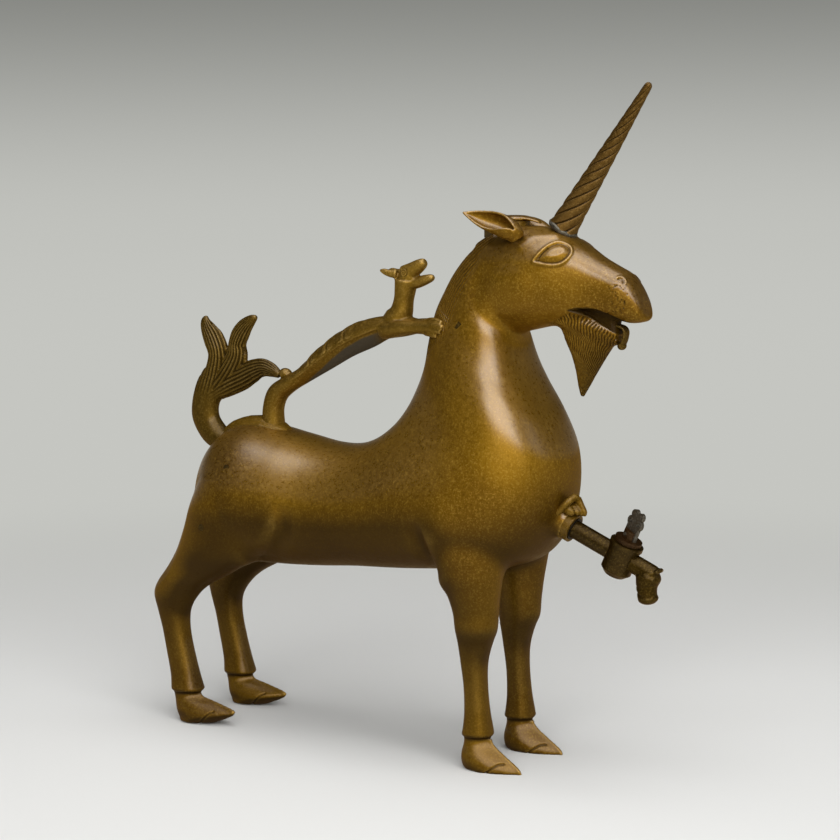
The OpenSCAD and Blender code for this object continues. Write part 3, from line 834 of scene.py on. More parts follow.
def add_floor():
    mesh = bpy.data.meshes.new("floor")
    edge = round_ring(FLOOR_R, around(FLOOR_SIDES), 0.0)
    mesh.from_pydata(edge.tolist(), [], [tuple(range(FLOOR_SIDES))])
    floor = add_object("floor", mesh)
    mat = bpy.data.materials.new("floor")
    mat.use_nodes = True
    n = Nodes(mat.node_tree)
    where = n.add("ShaderNodeNewGeometry").outputs["Position"]
    far = n.add("ShaderNodeVectorMath", {0: where}, operation="LENGTH").outputs["Value"]
    paint = n.add("ShaderNodeBsdfDiffuse", {"Color": FLOOR_PAINT}).outputs[0]
    backdrop = n.blend(n.span(far, FADE_TO, FLOOR_R), NEAR, HORIZON)
    glow = n.add("ShaderNodeEmission", {"Color": backdrop}).outputs[0]
    mix = n.add("ShaderNodeMixShader", {0: n.span(far, FADE_FROM, FADE_TO), 1: paint, 2: glow}).outputs[0]
    n.add("ShaderNodeOutputMaterial", {"Surface": mix})
    mesh.materials.append(mat)


def add_world():
    world = bpy.data.worlds.new("studio")
    bpy.context.scene.world = world
    world.use_nodes = True
    n = Nodes(world.node_tree)
    ray = n.add("ShaderNodeLightPath").outputs
    seen = n.larger(n.larger(ray["Is Camera Ray"], ray["Is Transmission Ray"]), ray["Is Glossy Ray"])
    direction = n.add("ShaderNodeTexCoord").outputs["Generated"]
    rise = n.add("ShaderNodeSeparateXYZ", {0: direction}).outputs["Z"]
    sky = n.blend(n.span(rise, -0.04, 0.10), HORIZON, ZENITH)
    sky = n.blend(n.span(rise, 0.10, 0.28), sky, CEILING)
    room = n.blend(n.span(rise, -0.1, 0.7), ROOM_LOW, ROOM_HIGH)
    glow = n.add("ShaderNodeBackground", {"Color": n.blend(seen, room, sky)}).outputs[0]
    n.add("ShaderNodeOutputWorld", {"Surface": glow})


add_camera()
add_floor()
add_world()
add_lamp("overhead", (0.1, -0.2, 1.6), (0.0, 0.0, 0.1), (1.7, 1.3), 18)
add_lamp("front", (1.0, -1.3, 1.1), (0.0, 0.0, 0.2), (2.4, 1.4), 40)
add_lamp("right", (1.5, 0.5, 0.6), (0.0, 0.0, 0.2), (0.6, 1.0), 1.5)

scene = bpy.context.scene
scene.view_settings.view_transform = "Standard"


# Metal

# Bare metal under the handle, where the patina is scraped off.
SCRAPED = (0.075, 0.068, 0.055)
# Tint of reflections on the bronze, refraction of its lacquer, and depth of its grain in metres.
SHEEN = (0.9, 0.62, 0.22)
LACQUER_IOR = 2.0
GRAIN_DEPTH = 0.0002


def bronze(name, dark, middle, light, rough=0.47, coat=0.7):
    """Old lacquered bronze: brown patina, rubbed edges, fine mottling, pits, grime with painted shade in
    the hollows, and painted shade on under sides.
    """
    mat = bpy.data.materials.new(name)
    mat.use_nodes = True
    n = Nodes(mat.node_tree)
    where = n.add("ShaderNodeTexCoord").outputs["Object"]
    broad = n.noise(where, 12, 2, 0.5, 0.3)
    cloud = n.noise(where, 420, 4, 0.62, 0.2)
    grain = n.noise(where, 900, 3, 0.65)
    fine = n.noise(where, 2800, 2, 0.6)
    spots = n.cells(where, 110)
    pits = n.cells(where, 380)
    rub = n.layer("rub")
    grime_and_shade = n.layer("grime_and_shade")
    bare = n.layer("bare")
    under = n.layer("under")
    # Near black, for soot, pits and painted shade.
    soot_and_shade = tuple(0.2 * v for v in dark)
    bright = tuple(min(1.0, 1.3 * v + 0.03) for v in light)

    colour = n.blend(n.span(broad, 0.3, 0.7, 0.15, 1.0), dark, middle)
    colour = n.blend(n.part(n.span(cloud, 0.50, 0.72), 0.24), colour, light)
    colour = n.blend(n.part(n.span(cloud, 0.50, 0.30), 0.24), colour, dark)
    colour = n.blend(n.part(n.span(grain, 0.50, 0.70), 0.5), colour, light)
    colour = n.blend(n.part(n.span(grain, 0.50, 0.30), 0.35), colour, dark)
    blot = n.part(n.span(spots, 0.07, 0.03), n.span(broad, 0.55, 0.66))
    pit = n.part(n.span(pits, 0.13, 0.05), n.span(cloud, 0.56, 0.68))
    black = n.larger(n.part(blot, 0.5), n.part(pit, 0.6))
    # Painted shade on sides that face down, on the legs and on the feet.
    colour = n.blend(n.part(under, 0.92), colour, soot_and_shade)
    colour = n.blend(black, colour, soot_and_shade)
    colour = n.blend(n.part(rub, n.span(grain, 0.2, 0.7, 0.2, 0.65)), colour, bright)
    # Grime, with painted shade, in the hollows and creases.
    colour = n.blend(n.part(grime_and_shade, 0.85), colour, soot_and_shade)
    colour = n.blend(n.part(bare, 0.85), colour, SCRAPED)

    gloss = n.span(cloud, 0.3, 0.7, rough - 0.04, rough + 0.06)
    gloss = n.plus(gloss, n.span(grain, 0.3, 0.7), 0.07)
    gloss = n.plus(gloss, grime_and_shade, 0.3)
    gloss = n.plus(gloss, bare, 0.3)
    gloss = n.plus(gloss, black, 0.2)
    gloss = n.number("SUBTRACT", gloss, n.part(rub, 0.05), clamp=True)
    # The lacquer thins over grime, bare metal and pits, and under the painted shade of under sides and of
    # sides that face the floor.
    dull_and_shaded = n.larger(n.larger(grime_and_shade, bare), n.larger(black, under))
    dull_and_shaded = n.larger(dull_and_shaded, n.layer("side_shade"))
    lacquer = n.span(dull_and_shaded, 0.0, 1.0, coat, 0.04 * coat)
    film = n.span(cloud, 0.3, 0.7, 0.26, 0.36)

    height = n.plus(n.plus(n.part(fine, 0.25), grain, 0.6), cloud, 0.9)
    height = n.number("SUBTRACT", height, n.part(black, 1.4))
    bump = {"Strength": 0.25, "Distance": GRAIN_DEPTH, "Height": height}
    relief = n.add("ShaderNodeBump", bump).outputs[0]

    shader = n.add("ShaderNodeBsdfPrincipled", {
        "Base Color": colour,
        "Metallic": 0.75,
        "Roughness": gloss,
        "Normal": relief,
        "Specular Tint": SHEEN,
        "Coat Weight": lacquer,
        "Coat Roughness": film,
        "Coat IOR": LACQUER_IOR,
        "Coat Normal": relief,
    })
    n.add("ShaderNodeOutputMaterial", {"Surface": shader.outputs[0]})
    return mat


# Each metal has a dark, a middle and a light tone.
BRONZE = bronze("bronze", (0.105, 0.046, 0.002), (0.25, 0.126, 0.005), (0.42, 0.25, 0.034))
SOFT = bronze(
    "soft_bronze", (0.10, 0.05, 0.003), (0.195, 0.106, 0.006), (0.33, 0.2, 0.035), rough=0.6, coat=0.12)
DARK = bronze("dark_bronze", (0.045, 0.023, 0.002), (0.10, 0.055, 0.005), (0.22, 0.14, 0.03), coat=0.15)
HANDLE_METAL = bronze(
    "handle_bronze", (0.10, 0.052, 0.004), (0.21, 0.116, 0.011), (0.37, 0.23, 0.05), coat=0.2)
TAP_METAL = bronze(
    "tap_bronze", (0.022, 0.011, 0.001), (0.055, 0.03, 0.002), (0.14, 0.088, 0.018), rough=0.38, coat=0.05)
PLUG_METAL = bronze(
    "plug_bronze", (0.025, 0.01, 0.003), (0.06, 0.028, 0.009), (0.12, 0.066, 0.028), coat=0.04)
HORN_METAL = bronze(
    "horn_bronze", (0.07, 0.035, 0.006), (0.14, 0.074, 0.016), (0.25, 0.15, 0.045), coat=0.1)
WORN = bronze("worn_bronze", (0.06, 0.05, 0.036), (0.125, 0.11, 0.085), (0.27, 0.245, 0.2), coat=0.08)
PEWTER = bronze(
    "pewter", (0.035, 0.031, 0.023), (0.085, 0.077, 0.058), (0.28, 0.26, 0.22), rough=0.45, coat=0.1)
PACKING = bronze(
    "packing", (0.006, 0.005, 0.004), (0.012, 0.010, 0.008), (0.03, 0.025, 0.02), rough=0.7, coat=0.1)


def use(obj, mat):
    obj.data.materials.clear()
    obj.data.materials.append(mat)


def finish_piece(obj, mat, body, nodes, reach, dirt_and_shade=0.0):
    """Marks the wear and the painted shade of a modelled piece and hands it over in place of the named
    nodes.
    """
    mark_wear(obj, reach, dirt_and_shade)
    paint_side_shade(obj)
    use(obj, mat)
    obj.data.polygons.foreach_set("use_smooth", np.ones(len(obj.data.polygons), dtype=bool))
    obj.data.update()
    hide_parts(*nodes)
    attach(obj, body)


# Casting: trunk, neck, head and legs

CAST_NODES = (
    "body_shell", "head_shell", "front_leg_left", "front_leg_right", "hind_leg_left", "hind_leg_right")
TRUNK_WALL = 2.6
HEAD_WALL = 3.4
FILLER_X = 100
FILLER_R = 9.4

# The side of the head is drawn on a sheet that faces the front right.
SHEET_RIGHT = np.array([0.849, 0.528, 0.0])
SHEET_UP = np.array([-0.064, 0.104, 0.992])
SHEET_OUT = np.array([0.524, -0.843, 0.122])


def on_sheet(points, side):
    """Places (right, up) on the sheet, seen from the right (-1) or the left (1)."""
    seen = points * [1, -side, 1]
    return np.stack([seen @ SHEET_RIGHT, seen @ SHEET_UP], axis=1)


def sheet_place(x, y, z):
    place = np.array([x, y, z], dtype=float)
    return np.array([place @ SHEET_RIGHT, place @ SHEET_UP])


# Middle of the tap, and how far its pipe dips.
TAP_AT = np.array([170.8, 0, 128.4])
TAP_DIP = math.radians(23.4)


def tap_tube(rows, n, steps):
    """A round rod along the pipe: distance from the tap's middle, and radius."""
    c = math.cos(TAP_DIP)
    s = math.sin(TAP_DIP)
    return tube([[*(TAP_AT + np.array([x * c, 0, -x * s])), r] for x, r in rows], n, steps)


MOUTH = [
    (143.5, 267.4), (148, 268.8), (154, 269.2), (160, 268.4), (166, 266.2), (172, 263.4), (177, 260.4),
    (184, 255), (178, 250), (171, 253), (165, 256.6), (158, 260.6), (151, 264.6),
]
LIP_LINE = [(124, 257), (144, 266.4), (151, 263.8), (158, 259.8), (165, 255.8), (172, 251.6)]
# Outline of the eye round EYE_AT, and the crease in its back corner, on the sheet.
EYE = [
    (-10.9, -4.1), (-6.7, 1.7), (-1.1, 5.9), (5, 7.4), (10, 5.2), (11.6, 1.7), (10, -2.2),
    (5.6, -5.9), (0, -7), (-6.1, -6.1),
]
EYE_CREASE = [(-7.6, -3.6), (-5.8, -0.2), (-2.4, 3.2)]
EYE_AT = sheet_place(133.7, -16.75, 298.4)
BROW = [sheet_place(116, -20, 303), sheet_place(124, -19, 307.5), sheet_place(134, -13, 308.5)]
NOSTRIL_AT = sheet_place(173.5, -10.4, 283.9)
CHEEK_AT = sheet_place(108.3, -23.3, 275.8)
CHEEK_R = 18
# Back line of the neck, X and Z, how far in from it the mane reaches, and the width of a strand.
MANE_LINE = [
    (44, 232), (46, 244), (48, 255), (51, 265), (56, 275), (62, 285), (70, 295), (80, 304), (90, 309.5),
]
MANE_DEPTH = [0, 10, 18, 20, 17.5, 15.5, 14, 9.5, 5]
STRAND = 1.9
# Folds where the thigh and the foreleg meet the trunk, X and Z.
THIGH_FOLD = [(-33, 148), (-31.5, 140), (-33, 130), (-43, 117), (-58, 108)]
ELBOW_FOLD = [(62, 145), (64.5, 138), (66, 127), (68.5, 117)]
# Swelling of the chest round the socket of the tap.
CHEST_SWELL = [(-60, 15), (-52, 14), (-46, 11), (-41.5, 9.4), (-37, 8.7)]
# Middle Y and toe X of each hoof, and the nick at its toe, X and Z.
HOOVES = [
    (25.0, 119.0, [(101.5, 0.2), (105, 3), (108.5, 5.4), (111, 5.6)]),
    (27.5, -82.0, [(-105, 0.5), (-101, 3.8), (-97, 8.2), (-94.6, 9.4)]),
]


def skull_ring(row, n):
    """The muzzle is squarer than the skull."""
    return upright_ring(row, n, 0, TRUNK_ROUND - 0.16 * step(122, 150, row[0]))


def make_casting():
    """Trunk, head, jaw, beard and legs melted into one and hollowed out."""
    shapes = [
        skin_over(upright_ring, TRUNK, 96, 8),
        skin_over(skull_ring, SKULL, 96, 8),
        skin_over(upright_ring, JAW, 64, 8),
        skin_over(upright_ring, GUM, 48, 6),
        skin_over(level_ring, BEARD, 64, 8),
    ]
    for limb, hoof in ((FRONT_LIMB, FRONT_HOOF), (HIND_LIMB, HIND_HOOF)):
        shapes.extend(both(leg_shape(limb, hoof)))
    shapes.append(tap_tube(CHEST_SWELL, 48, 6))
    obj = new_object("casting", shapes)
    fuse(obj, 0.9)
    crisp = 0.35 + 0.65 * step(24, 60, read_points(obj)[:, 2])
    relax(obj, 3, crisp)
    x, _, z = read_points(obj).T
    behind = np.maximum(step(262, 240, z), step(126, 114, x))
    fill_creases(obj, 90, step(70, 95, z) * behind)
    relax(obj, 3, crisp)
    cut(obj, [prism(MOUTH, 5, 30), prism(MOUTH, -30, -5)])
    # The vessel is hollow from the filler mouth to the trunk.
    trunk = [upright_ring(row, 64, TRUNK_WALL) for row in smooth_rows(TRUNK, 3)[1:-1]]
    head = [upright_ring(row, 64, HEAD_WALL) for row in smooth_rows(SKULL[:6], 4)]
    filler = tube([[FILLER_X, 0, z, FILLER_R] for z in (290, 305, 325)], 48, 2)
    cut(obj, [skin(trunk), skin(head), filler])
    return obj


def face_area(p):
    return (p[:, 0] > 112) & (p[:, 2] > 250)


def mane_place(p):
    """Depth in from the line of the neck's back, and how far along that line."""
    return nearest(from_side(p), smooth_rows(MANE_LINE, 4))


def hair_area(p):
    """The beard and the strip of mane."""
    x, _, z = p.T
    beard = (z < 262) & (x > 122) & (z > 212)
    mane = (mane_place(p)[0] < 26) & (z > 230) & (x < 98)
    return beard | mane


def hoof_area(p):
    return p[:, 2] < 34


def ridges(wave):
    """1 in the groove at each whole number of the wave, and 0 between two grooves."""
    return 0.5 + 0.5 * np.cos(2 * np.pi * wave)


def mane_height(p):
    """Strands of the mane along the neck: heights, and grime that darkens the strip and, with painted
    shade, its grooves.
    """
    depth, along = mane_place(p)
    line = np.array(MANE_LINE, dtype=float)
    marks = np.concatenate([[0], np.cumsum(np.linalg.norm(np.diff(line, axis=0), axis=1))])
    limit = np.interp(along, marks, MANE_DEPTH)
    wander = 0.6 * np.sin(along * 0.35)
    cover = step(2.5, -3.5, depth - limit - wander) * step(2, 14, along) * (p[:, 0] < 100)
    strand = depth + 0.06 * along + 0.6 * np.sin(along * 0.12 + depth * 0.15) + 0.12 * np.sin(along * 0.7)
    groove = ridges(strand / STRAND) ** 2
    return cover * (0.1 - 0.65 * groove), cover * (0.35 + groove)


def beard_height(p):
    """Hanging hair on the beard and on the jaw below the lips: heights, and grime with painted shade in the
    grooves.
    """
    locks = 10.5
    x, _, z = p.T
    rows = smooth_rows(BEARD, 8)[::-1]
    middle = np.interp(z, rows[:, 0], rows[:, 1])
    half = np.interp(z, rows[:, 0], rows[:, 2])
    share = (x - middle) / half
    edge = np.array(LIP_LINE)
    top = np.interp(x, edge[:, 0], edge[:, 1])
    cover = step(top + 0.2, top - 1.2, z) * step(123, 127, x) * step(215, 219, z) * (z < 267)
    wave = 0.05 * np.sin(z * 0.35 + 4 * share) + 0.025 * np.sin(z * 0.8 + share * 9)
    groove = ridges(locks * (share + wave)) ** 2
    return -0.5 * cover * groove, cover * groove


def polar(spot, middle):
    """Distance and direction of flat spots from a middle."""
    rel = spot - middle
    return np.linalg.norm(rel, axis=1), np.arctan2(rel[:, 1], rel[:, 0])


def side_of_face(p, facing, side):
    """Eye, nostril, whisker pits, brow and cheek of one side: heights, and darkening in their grooves and
    pits that is partly grime and partly painted shade.
    """
    spot = on_sheet(p, side)
    outward = p[:, 1] * side
    front = facing & (outward > 1.5) & (p[:, 2] > 250)
    height = np.zeros(len(p))
    dirt_and_shade = np.zeros(len(p))

    rel = spot - EYE_AT
    near = front & (np.linalg.norm(rel, axis=1) < 20)
    gap = edge_distance(rel[near], round_outline(EYE))
    crease = line_distance(rel[near], EYE_CREASE)
    rim = 0.8 * bell(gap + 0.6, 0.8) - 0.35 * bell(gap + 1.9, 0.45)
    height[near] += rim + 1.6 * step(-1.2, -5.5, gap) - 0.4 * bell(crease, 0.5)
    # Darker groove round the eye and in its crease: grime and painted shade.
    dirt_and_shade[near] += 0.4 * bell(gap + 1.9, 0.4) + 0.3 * bell(gap - 0.8, 0.5) + 0.4 * bell(crease, 0.4)

    height += front * bell(line_distance(spot, BROW), 3.0)

    far, turn = polar(spot, NOSTRIL_AT)
    arch = front * step(-0.9, -0.2, turn) * step(2.9, 2.2, turn)
    height += arch * (0.5 * bell(far - 2.9, 0.8) - 0.45 * bell(far - 1.7, 0.8))
    # Darker line in the nostril: painted shade in its hollow.
    dirt_and_shade += 0.4 * arch * bell(far - 1.9, 0.45)

    dice = np.random.default_rng(5)
    for _ in range(42):
        place = NOSTRIL_AT + np.array([dice.uniform(-7, 3.5), dice.uniform(-17, -1.5)])
        size = dice.uniform(0.3, 0.42)
        dot = front * bell(np.linalg.norm(spot - place, axis=1), size)
        height -= 0.25 * dot
        # Darker pits: grime and painted shade.
        dirt_and_shade += 0.7 * dot

    far, turn = polar(spot, CHEEK_AT)
    back = np.cos(turn - np.radians(215))
    near = facing & (outward > 3) & (far < 32)
    height += near * 1.2 * step(CHEEK_R, 6, far)
    height -= near * step(-0.1, 0.8, back) * bell(far - CHEEK_R, 4.5)
    return height, dirt_and_shade


def limb_folds(p):
    """Soft creases in front of the thigh and behind the foreleg, with the limb swelling beside them and
    painted shade in the creases.
    """
    x, y, z = p.T
    fade = step(20, 30, np.abs(y)) * (z < 160) * step(98, 106, z) * step(150, 134, z)
    depth = np.zeros(len(p))
    swell = np.zeros(len(p))
    for line, limb_side in ((THIGH_FOLD, -1), (ELBOW_FOLD, 1)):
        rows = smooth_rows(line, 4)
        gap = line_distance(from_side(p), rows)
        middle = np.interp(z, rows[::-1, 1], rows[::-1, 0])
        on_limb = step(0, 6, limb_side * (x - middle))
        depth = np.maximum(depth, fade * bell(gap, 5.5))
        swell = np.maximum(swell, fade * on_limb * bell(gap - 9, 7))
    # The second number is painted shade in the creases.
    return 1.3 * swell - 2.1 * depth, 0.25 * depth ** 4


def hoof_details(p, normals):
    """Keel along the top of each hoof, the nick at its toe and a darker band under its cuff: heights, and
    darkening that is partly grime and partly painted shade.
    """
    cuff_z = 18.6
    x, y, z = p.T
    height = np.zeros(len(p))
    dirt_and_shade = np.zeros(len(p))
    for middle_y, toe_x, nick in HOOVES:
        for side in (-1, 1):
            across = y - side * middle_y
            here = (np.abs(across) < 14) & (np.abs(x - toe_x) < 36) & (z < 21)
            top = here & (normals[:, 2] > 0.15)
            height += top * step(toe_x - 32, toe_x - 20, x) * 0.9 * bell(across, 1.0)
            gap = line_distance(from_side(p), nick)
            height -= here * 0.6 * bell(gap, 0.55)
            dirt_and_shade += here * 0.35 * bell(gap, 0.45)
            cuff = (np.abs(across) < 16) & (np.abs(x - toe_x + 26) < 20)
            dirt_and_shade += 0.8 * cuff * bell(z - cuff_z, 1.0)
    return height, dirt_and_shade


def add_casting():
    """The casting with its fine relief, its grime with painted shade in the hollows, and painted shade on
    its under sides, lower flank, legs and feet.
    """
    obj = make_casting()
    refine(obj, lambda p: face_area(p) | hair_area(p) | hoof_area(p))
    refine(obj, hair_area)
    p = read_points(obj)
    relax(obj, 2, (face_area(p) | hair_area(p)).astype(float))
    p = read_points(obj)
    x, y, z = p.T
    normals = read_normals(obj)
    height = np.zeros(len(p))
    dirt_and_shade = np.zeros(len(p))
    for side in (-1, 1):
        facing = (normals * [1, -side, 1]) @ SHEET_OUT > -0.25
        lift, soil_and_shade = side_of_face(p, facing, side)
        height += lift
        dirt_and_shade += soil_and_shade
    for lift, soil_and_shade in (mane_height(p), beard_height(p), limb_folds(p), hoof_details(p, normals)):
        height += lift
        dirt_and_shade += 0.7 * soil_and_shade
    # Painted shade inside the mouth and along its edges.
    mouth = edge_distance(from_side(p), np.array(MOUTH, dtype=float))
    dirt_and_shade += step(0.6, -0.2, mouth) * (x > 140)
    # Painted shadow in the gap behind the root of each ear.
    ear_shadow = np.linalg.norm(columns(0.5 * (x - 97), np.abs(y) - 15, z - 306), axis=1)
    dirt_and_shade += 0.8 * step(7, 3, ear_shadow)
    push(obj, height)
    # Painted shade: sides that face down, the lower flank, the legs and the feet are made darker and lose
    # their sheen.
    flank = step(90, 112, z) * step(92, 70, x)
    shade_facing_down = step(0.25 + 0.1 * flank, -0.6 + 0.45 * flank, normals[:, 2]) * step(262, 236, z)
    leg_shade = 0.5 * step(120, 70, z) * step(14, 24, z)
    foot_shade = 0.3 * step(24, 14, z)
    set_layer(obj, "under", np.clip(0.9 * shade_facing_down + leg_shade + foot_shade, 0, 1))
    finish_piece(obj, BRONZE, "vessel", CAST_NODES, reach=6, dirt_and_shade=dirt_and_shade)


add_casting()


# Ears

EAR_THICK = 1.3
# The way the open side of the right ear faces.
EAR_FACE = np.array([0.45, -0.80, 0.40])


def ear_shape(drop):
    """A leaf rolled into a tube at its root: a C section with an open side."""
    rows = smooth_rows(EAR, 8)
    places = rows[:, :3] * [1, -1, 1] - [0, 0, drop]
    rings = []
    for place, way, r, half in zip(places, unit_ways(places), rows[:, 3], rows[:, 4]):
        face = EAR_FACE - way * (EAR_FACE @ way)
        face /= np.linalg.norm(face)
        edge = np.cross(way, face)
        gap = math.radians(max(half, 1.0))
        turn = np.linspace(gap, 2 * np.pi - gap, 40)
        arc = np.cos(turn)[:, None] * face + np.sin(turn)[:, None] * edge
        inner_r = max(r - EAR_THICK, 0.15 * r)
        rings.append(place + np.concatenate([r * arc, inner_r * arc[::-1]]))
    return skin(rings)


def add_ear(name, drop, left):
    shape = ear_shape(drop)
    obj = cast(name + "_cast", [mirrored(shape) if left else shape], voxel=0.4, smoothing=3)
    finish_piece(obj, BRONZE, "vessel", (name,), reach=8)


add_ear("ear_right", 0, False)
add_ear("ear_left", 4, True)


# Horn

HORN_FOOT = np.array([132, 0, 312.6])
HORN_LEAN = math.radians(33.5)
HORN_LONG = 96
HORN_FOOT_R = 8
HORN_TIP_R = 2.1
# Share of the length that is rounded off at the tip.
HORN_CAP = 0.025
TANG_R = 3
TANG_LONG = 9.0
STRANDS = 6
TURNS = 2.1
# Height and radius of the solder round the horn's foot, which is uneven outside SOLDER_IN.
SOLDER_IN = 6.0
SOLDER = [(-2, 6.0), (-1.9, 8.0), (-1.2, 8.8), (-0.3, 9.1), (0.5, 9), (1.0, 8.6), (1.4, 8.1), (1.5, 6)]


def on_horn_foot(shape):
    """Sets a shape that is drawn upright on the slanting foot of the horn."""
    points, faces = shape
    c = math.cos(HORN_LEAN)
    s = math.sin(HORN_LEAN)
    x, y, z = points.T
    return columns(x * c + z * s, y, z * c - x * s) + HORN_FOOT, faces


def add_horn():
    """Rounded strands wound round a tapering horn, with a tang below."""
    n = 168
    a = around(n)
    rings = [round_ring(TANG_R, a, -TANG_LONG), round_ring(TANG_R, a, -0.05)]
    dirt_and_shade = [np.zeros(n), np.zeros(n)]
    cap_from = 1 - HORN_CAP
    cap = 1 - HORN_CAP * np.cos(np.linspace(0.1, 1.5, 10))
    for t in np.concatenate([np.linspace(0, cap_from, 200), cap]):
        flare = 0.7 * math.exp(-t * 26)
        r = HORN_FOOT_R + (HORN_TIP_R - HORN_FOOT_R) * t + flare
        if t > cap_from:
            r *= math.sqrt(max(1 - ((t - cap_from) / (1.008 * HORN_CAP)) ** 2, 0.0004))
        wound = 2 * np.pi * TURNS * (0.88 * t + 0.12 * t * t)
        strand = STRANDS * (a - wound) / (2 * np.pi) + 0.05 * np.sin(a + 9 * t)
        w = np.abs((strand % 1) - 0.5) * 2
        groove = bell(1 - w, 0.13)
        rings.append(round_ring(r * (1.02 - 0.08 * w ** 2 - 0.11 * groove), a, HORN_LONG * t))
        # Grooves between the strands are darkened: grime and painted shade.
        dirt_and_shade.append(groove)
    obj = new_object("horn_wound", [on_horn_foot(skin(rings))])
    dirt_and_shade = np.concatenate(dirt_and_shade + [[0, 0]])
    finish_piece(obj, HORN_METAL, "vessel", ("horn",), reach=4, dirt_and_shade=dirt_and_shade)


def add_seat():
    """Uneven solder run round the foot of the horn."""
    a = around(120)
    rings = []
    for z, r in SOLDER:
        lumps = 0.2 * np.sin(3 * a + 1) + 0.12 * np.sin(7 * a + 0.8 * z) + 0.1 * np.sin(11 * a - z)
        share = min(1.0, max(r - SOLDER_IN, 0.0) / 3)
        rings.append(round_ring(r + share * lumps, a, z + 0.3 * share * np.sin(4 * a + 2) * (z > 0)))
    obj = cast("seat_solder", [on_horn_foot(skin(rings))], voxel=0.4, smoothing=2)
    finish_piece(obj, PEWTER, "vessel", ("horn_seat",), reach=6)


add_horn()
add_seat()


# Filler lid

HINGE_X = 86.7
HINGE_Z = 317.4
KNUCKLE_R = 2.6
KNUCKLE_HALF = 3
PIN_HOLE_R = 1.3
# Sections of the plug in the mouth and of the dome over it: Z, middle X, half length, middle Y, half width.
LID_PLUG = [
    [314.8, 100, 5.6, 0, 5.6],
    [315.2, 100, 5.9, 0, 5.9],
    [316.6, 100, 5.9, 0, 5.9],
    [317, 100, 5, 0, 5],
]
LID_DOME = [
    [316.4, 100, 9.6, 0, 9.6],
    [316.9, 100, 9.9, 0, 9.9],
    [317.8, 100, 9.8, 0, 9.8],
    [318.7, 100.2, 8.6, 0, 8.6],
    [319.2, 100.4, 5.5, 0, 5.5],
    [319.3, 100.5, 2, 0, 2],
]
# Thumb tab: X, under side, upper side and half width.
LID_TAB = [
    [100, 316.6, 319.1, 7],
    [106, 316.5, 319, 6],
    [112, 316, 318.2, 4.4],
    [115.6, 315.2, 317, 3.2],
    [117.4, 314.6, 315.9, 1.8],
]


def tab_ring(row, n):
    """A section across the thumb tab."""
    x, under, over, half = row
    a = around(n)
    rise = (under + over) / 2 + (over - under) / 2 * sign_pow(np.sin(a), 0.8)
    return columns(x, half * sign_pow(np.cos(a), 0.8), rise)


def hinge_rod(half, r, n):
    return tube([[HINGE_X, y, HINGE_Z, r] for y in (-half, 0, half)], n, 2)


def add_lid():
    """A low dome that runs out into a thumb tab, with a knuckle at its back."""
    arm = [(HINGE_X, 316.4), (94, 316.4), (94, 318.8), (HINGE_X, 318.8)]
    shapes = [
        skin([level_ring(row, 64) for row in LID_PLUG]),
        skin_over(level_ring, LID_DOME, 64, 4),
        skin_over(tab_ring, LID_TAB, 40, 5),
        hinge_rod(KNUCKLE_HALF, KNUCKLE_R, 40),
        prism(arm, -KNUCKLE_HALF, KNUCKLE_HALF),
    ]
    obj = cast("lid_dome", shapes, voxel=0.3, smoothing=2)
    cut(obj, [hinge_rod(3 * KNUCKLE_HALF, PIN_HOLE_R, 32)])
    finish_piece(obj, BRONZE, "lid", ("filler_lid",), reach=8)


add_lid()


# Tail

def flute(p, tables, lines, deep):
    """Grooves that run along the nearest of some stems and close up toward its tip."""
    x, _, z = p.T
    best = np.full(len(p), FAR_AWAY)
    lateral = np.zeros(len(p))
    wide = np.zeros(len(p))
    for table in tables:
        rows = smooth_rows(table, 8)
        gap = np.linalg.norm(p[:, None, [0, 2]] - rows[None, :, :2], axis=2)
        k = gap.argmin(1)
        mid_x, mid_z, half, _, slope = rows[k].T
        slope = np.radians(slope)
        off = (x - mid_x) * -np.sin(slope) + (z - mid_z) * np.cos(slope)
        reach = gap[np.arange(len(p)), k] / np.maximum(half, 1.5)
        nearer = reach < best
        best = np.where(nearer, reach, best)
        lateral = np.where(nearer, off / np.maximum(half, 1.5), lateral)
        wide = np.where(nearer, half, wide)
    groove = step(2, 5, wide) * ridges(lateral * lines) ** 1.5
    return -deep * groove, groove


def add_tail():
    """A smooth stem that splits into three fluted tufts."""
    tufts = (TUFT_BACK, TUFT_MIDDLE, TUFT_FRONT)
    shapes = [skin_over(stem_ring, table, 40, 8) for table in (TAIL_STEM, *tufts)]
    obj = cast("tail_tufts", shapes, voxel=0.42, smoothing=5)
    p = read_points(obj)
    lift, soil_and_shade = flute(p, tufts, 3.5, 0.8)
    shown = step(198, 216, p[:, 2] + 0.2 * (p[:, 0] + 118))
    push(obj, lift * shown)
    relax(obj, 1)
    # Darker flutes: grime and painted shade.
    finish_piece(obj, DARK, "vessel", ("tail",), reach=8, dirt_and_shade=0.55 * soil_and_shade * shown)


add_tail()


# Beast handle

# Lower edge of the beast's back, X and Z, over the bare flat sides.
BACK_EDGE = [
    (-46, 214), (-31.4, 224.4), (-22.6, 231.2), (-12.4, 238.3), (0.5, 244.9), (12, 249), (24, 249.6),
]
BEAST_EYE = [28.4, 284.4]
# Distance between two turns of the winding on the beast's back.
WINDING = 15


def flat_stem_ring(row, n):
    """A section across the handle: round at the foot, then with two flat sides under its back."""
    a = around(n)
    c = sign_pow(np.cos(a), 0.95)
    flat = step(-58, -44, row[0]) * step(36, 22, row[0])
    s = np.sin(a) * (1 - flat * np.where(c < -0.05, 0.08 + 0.42 * np.abs(c), 0))
    return stem_place(row, c, s)


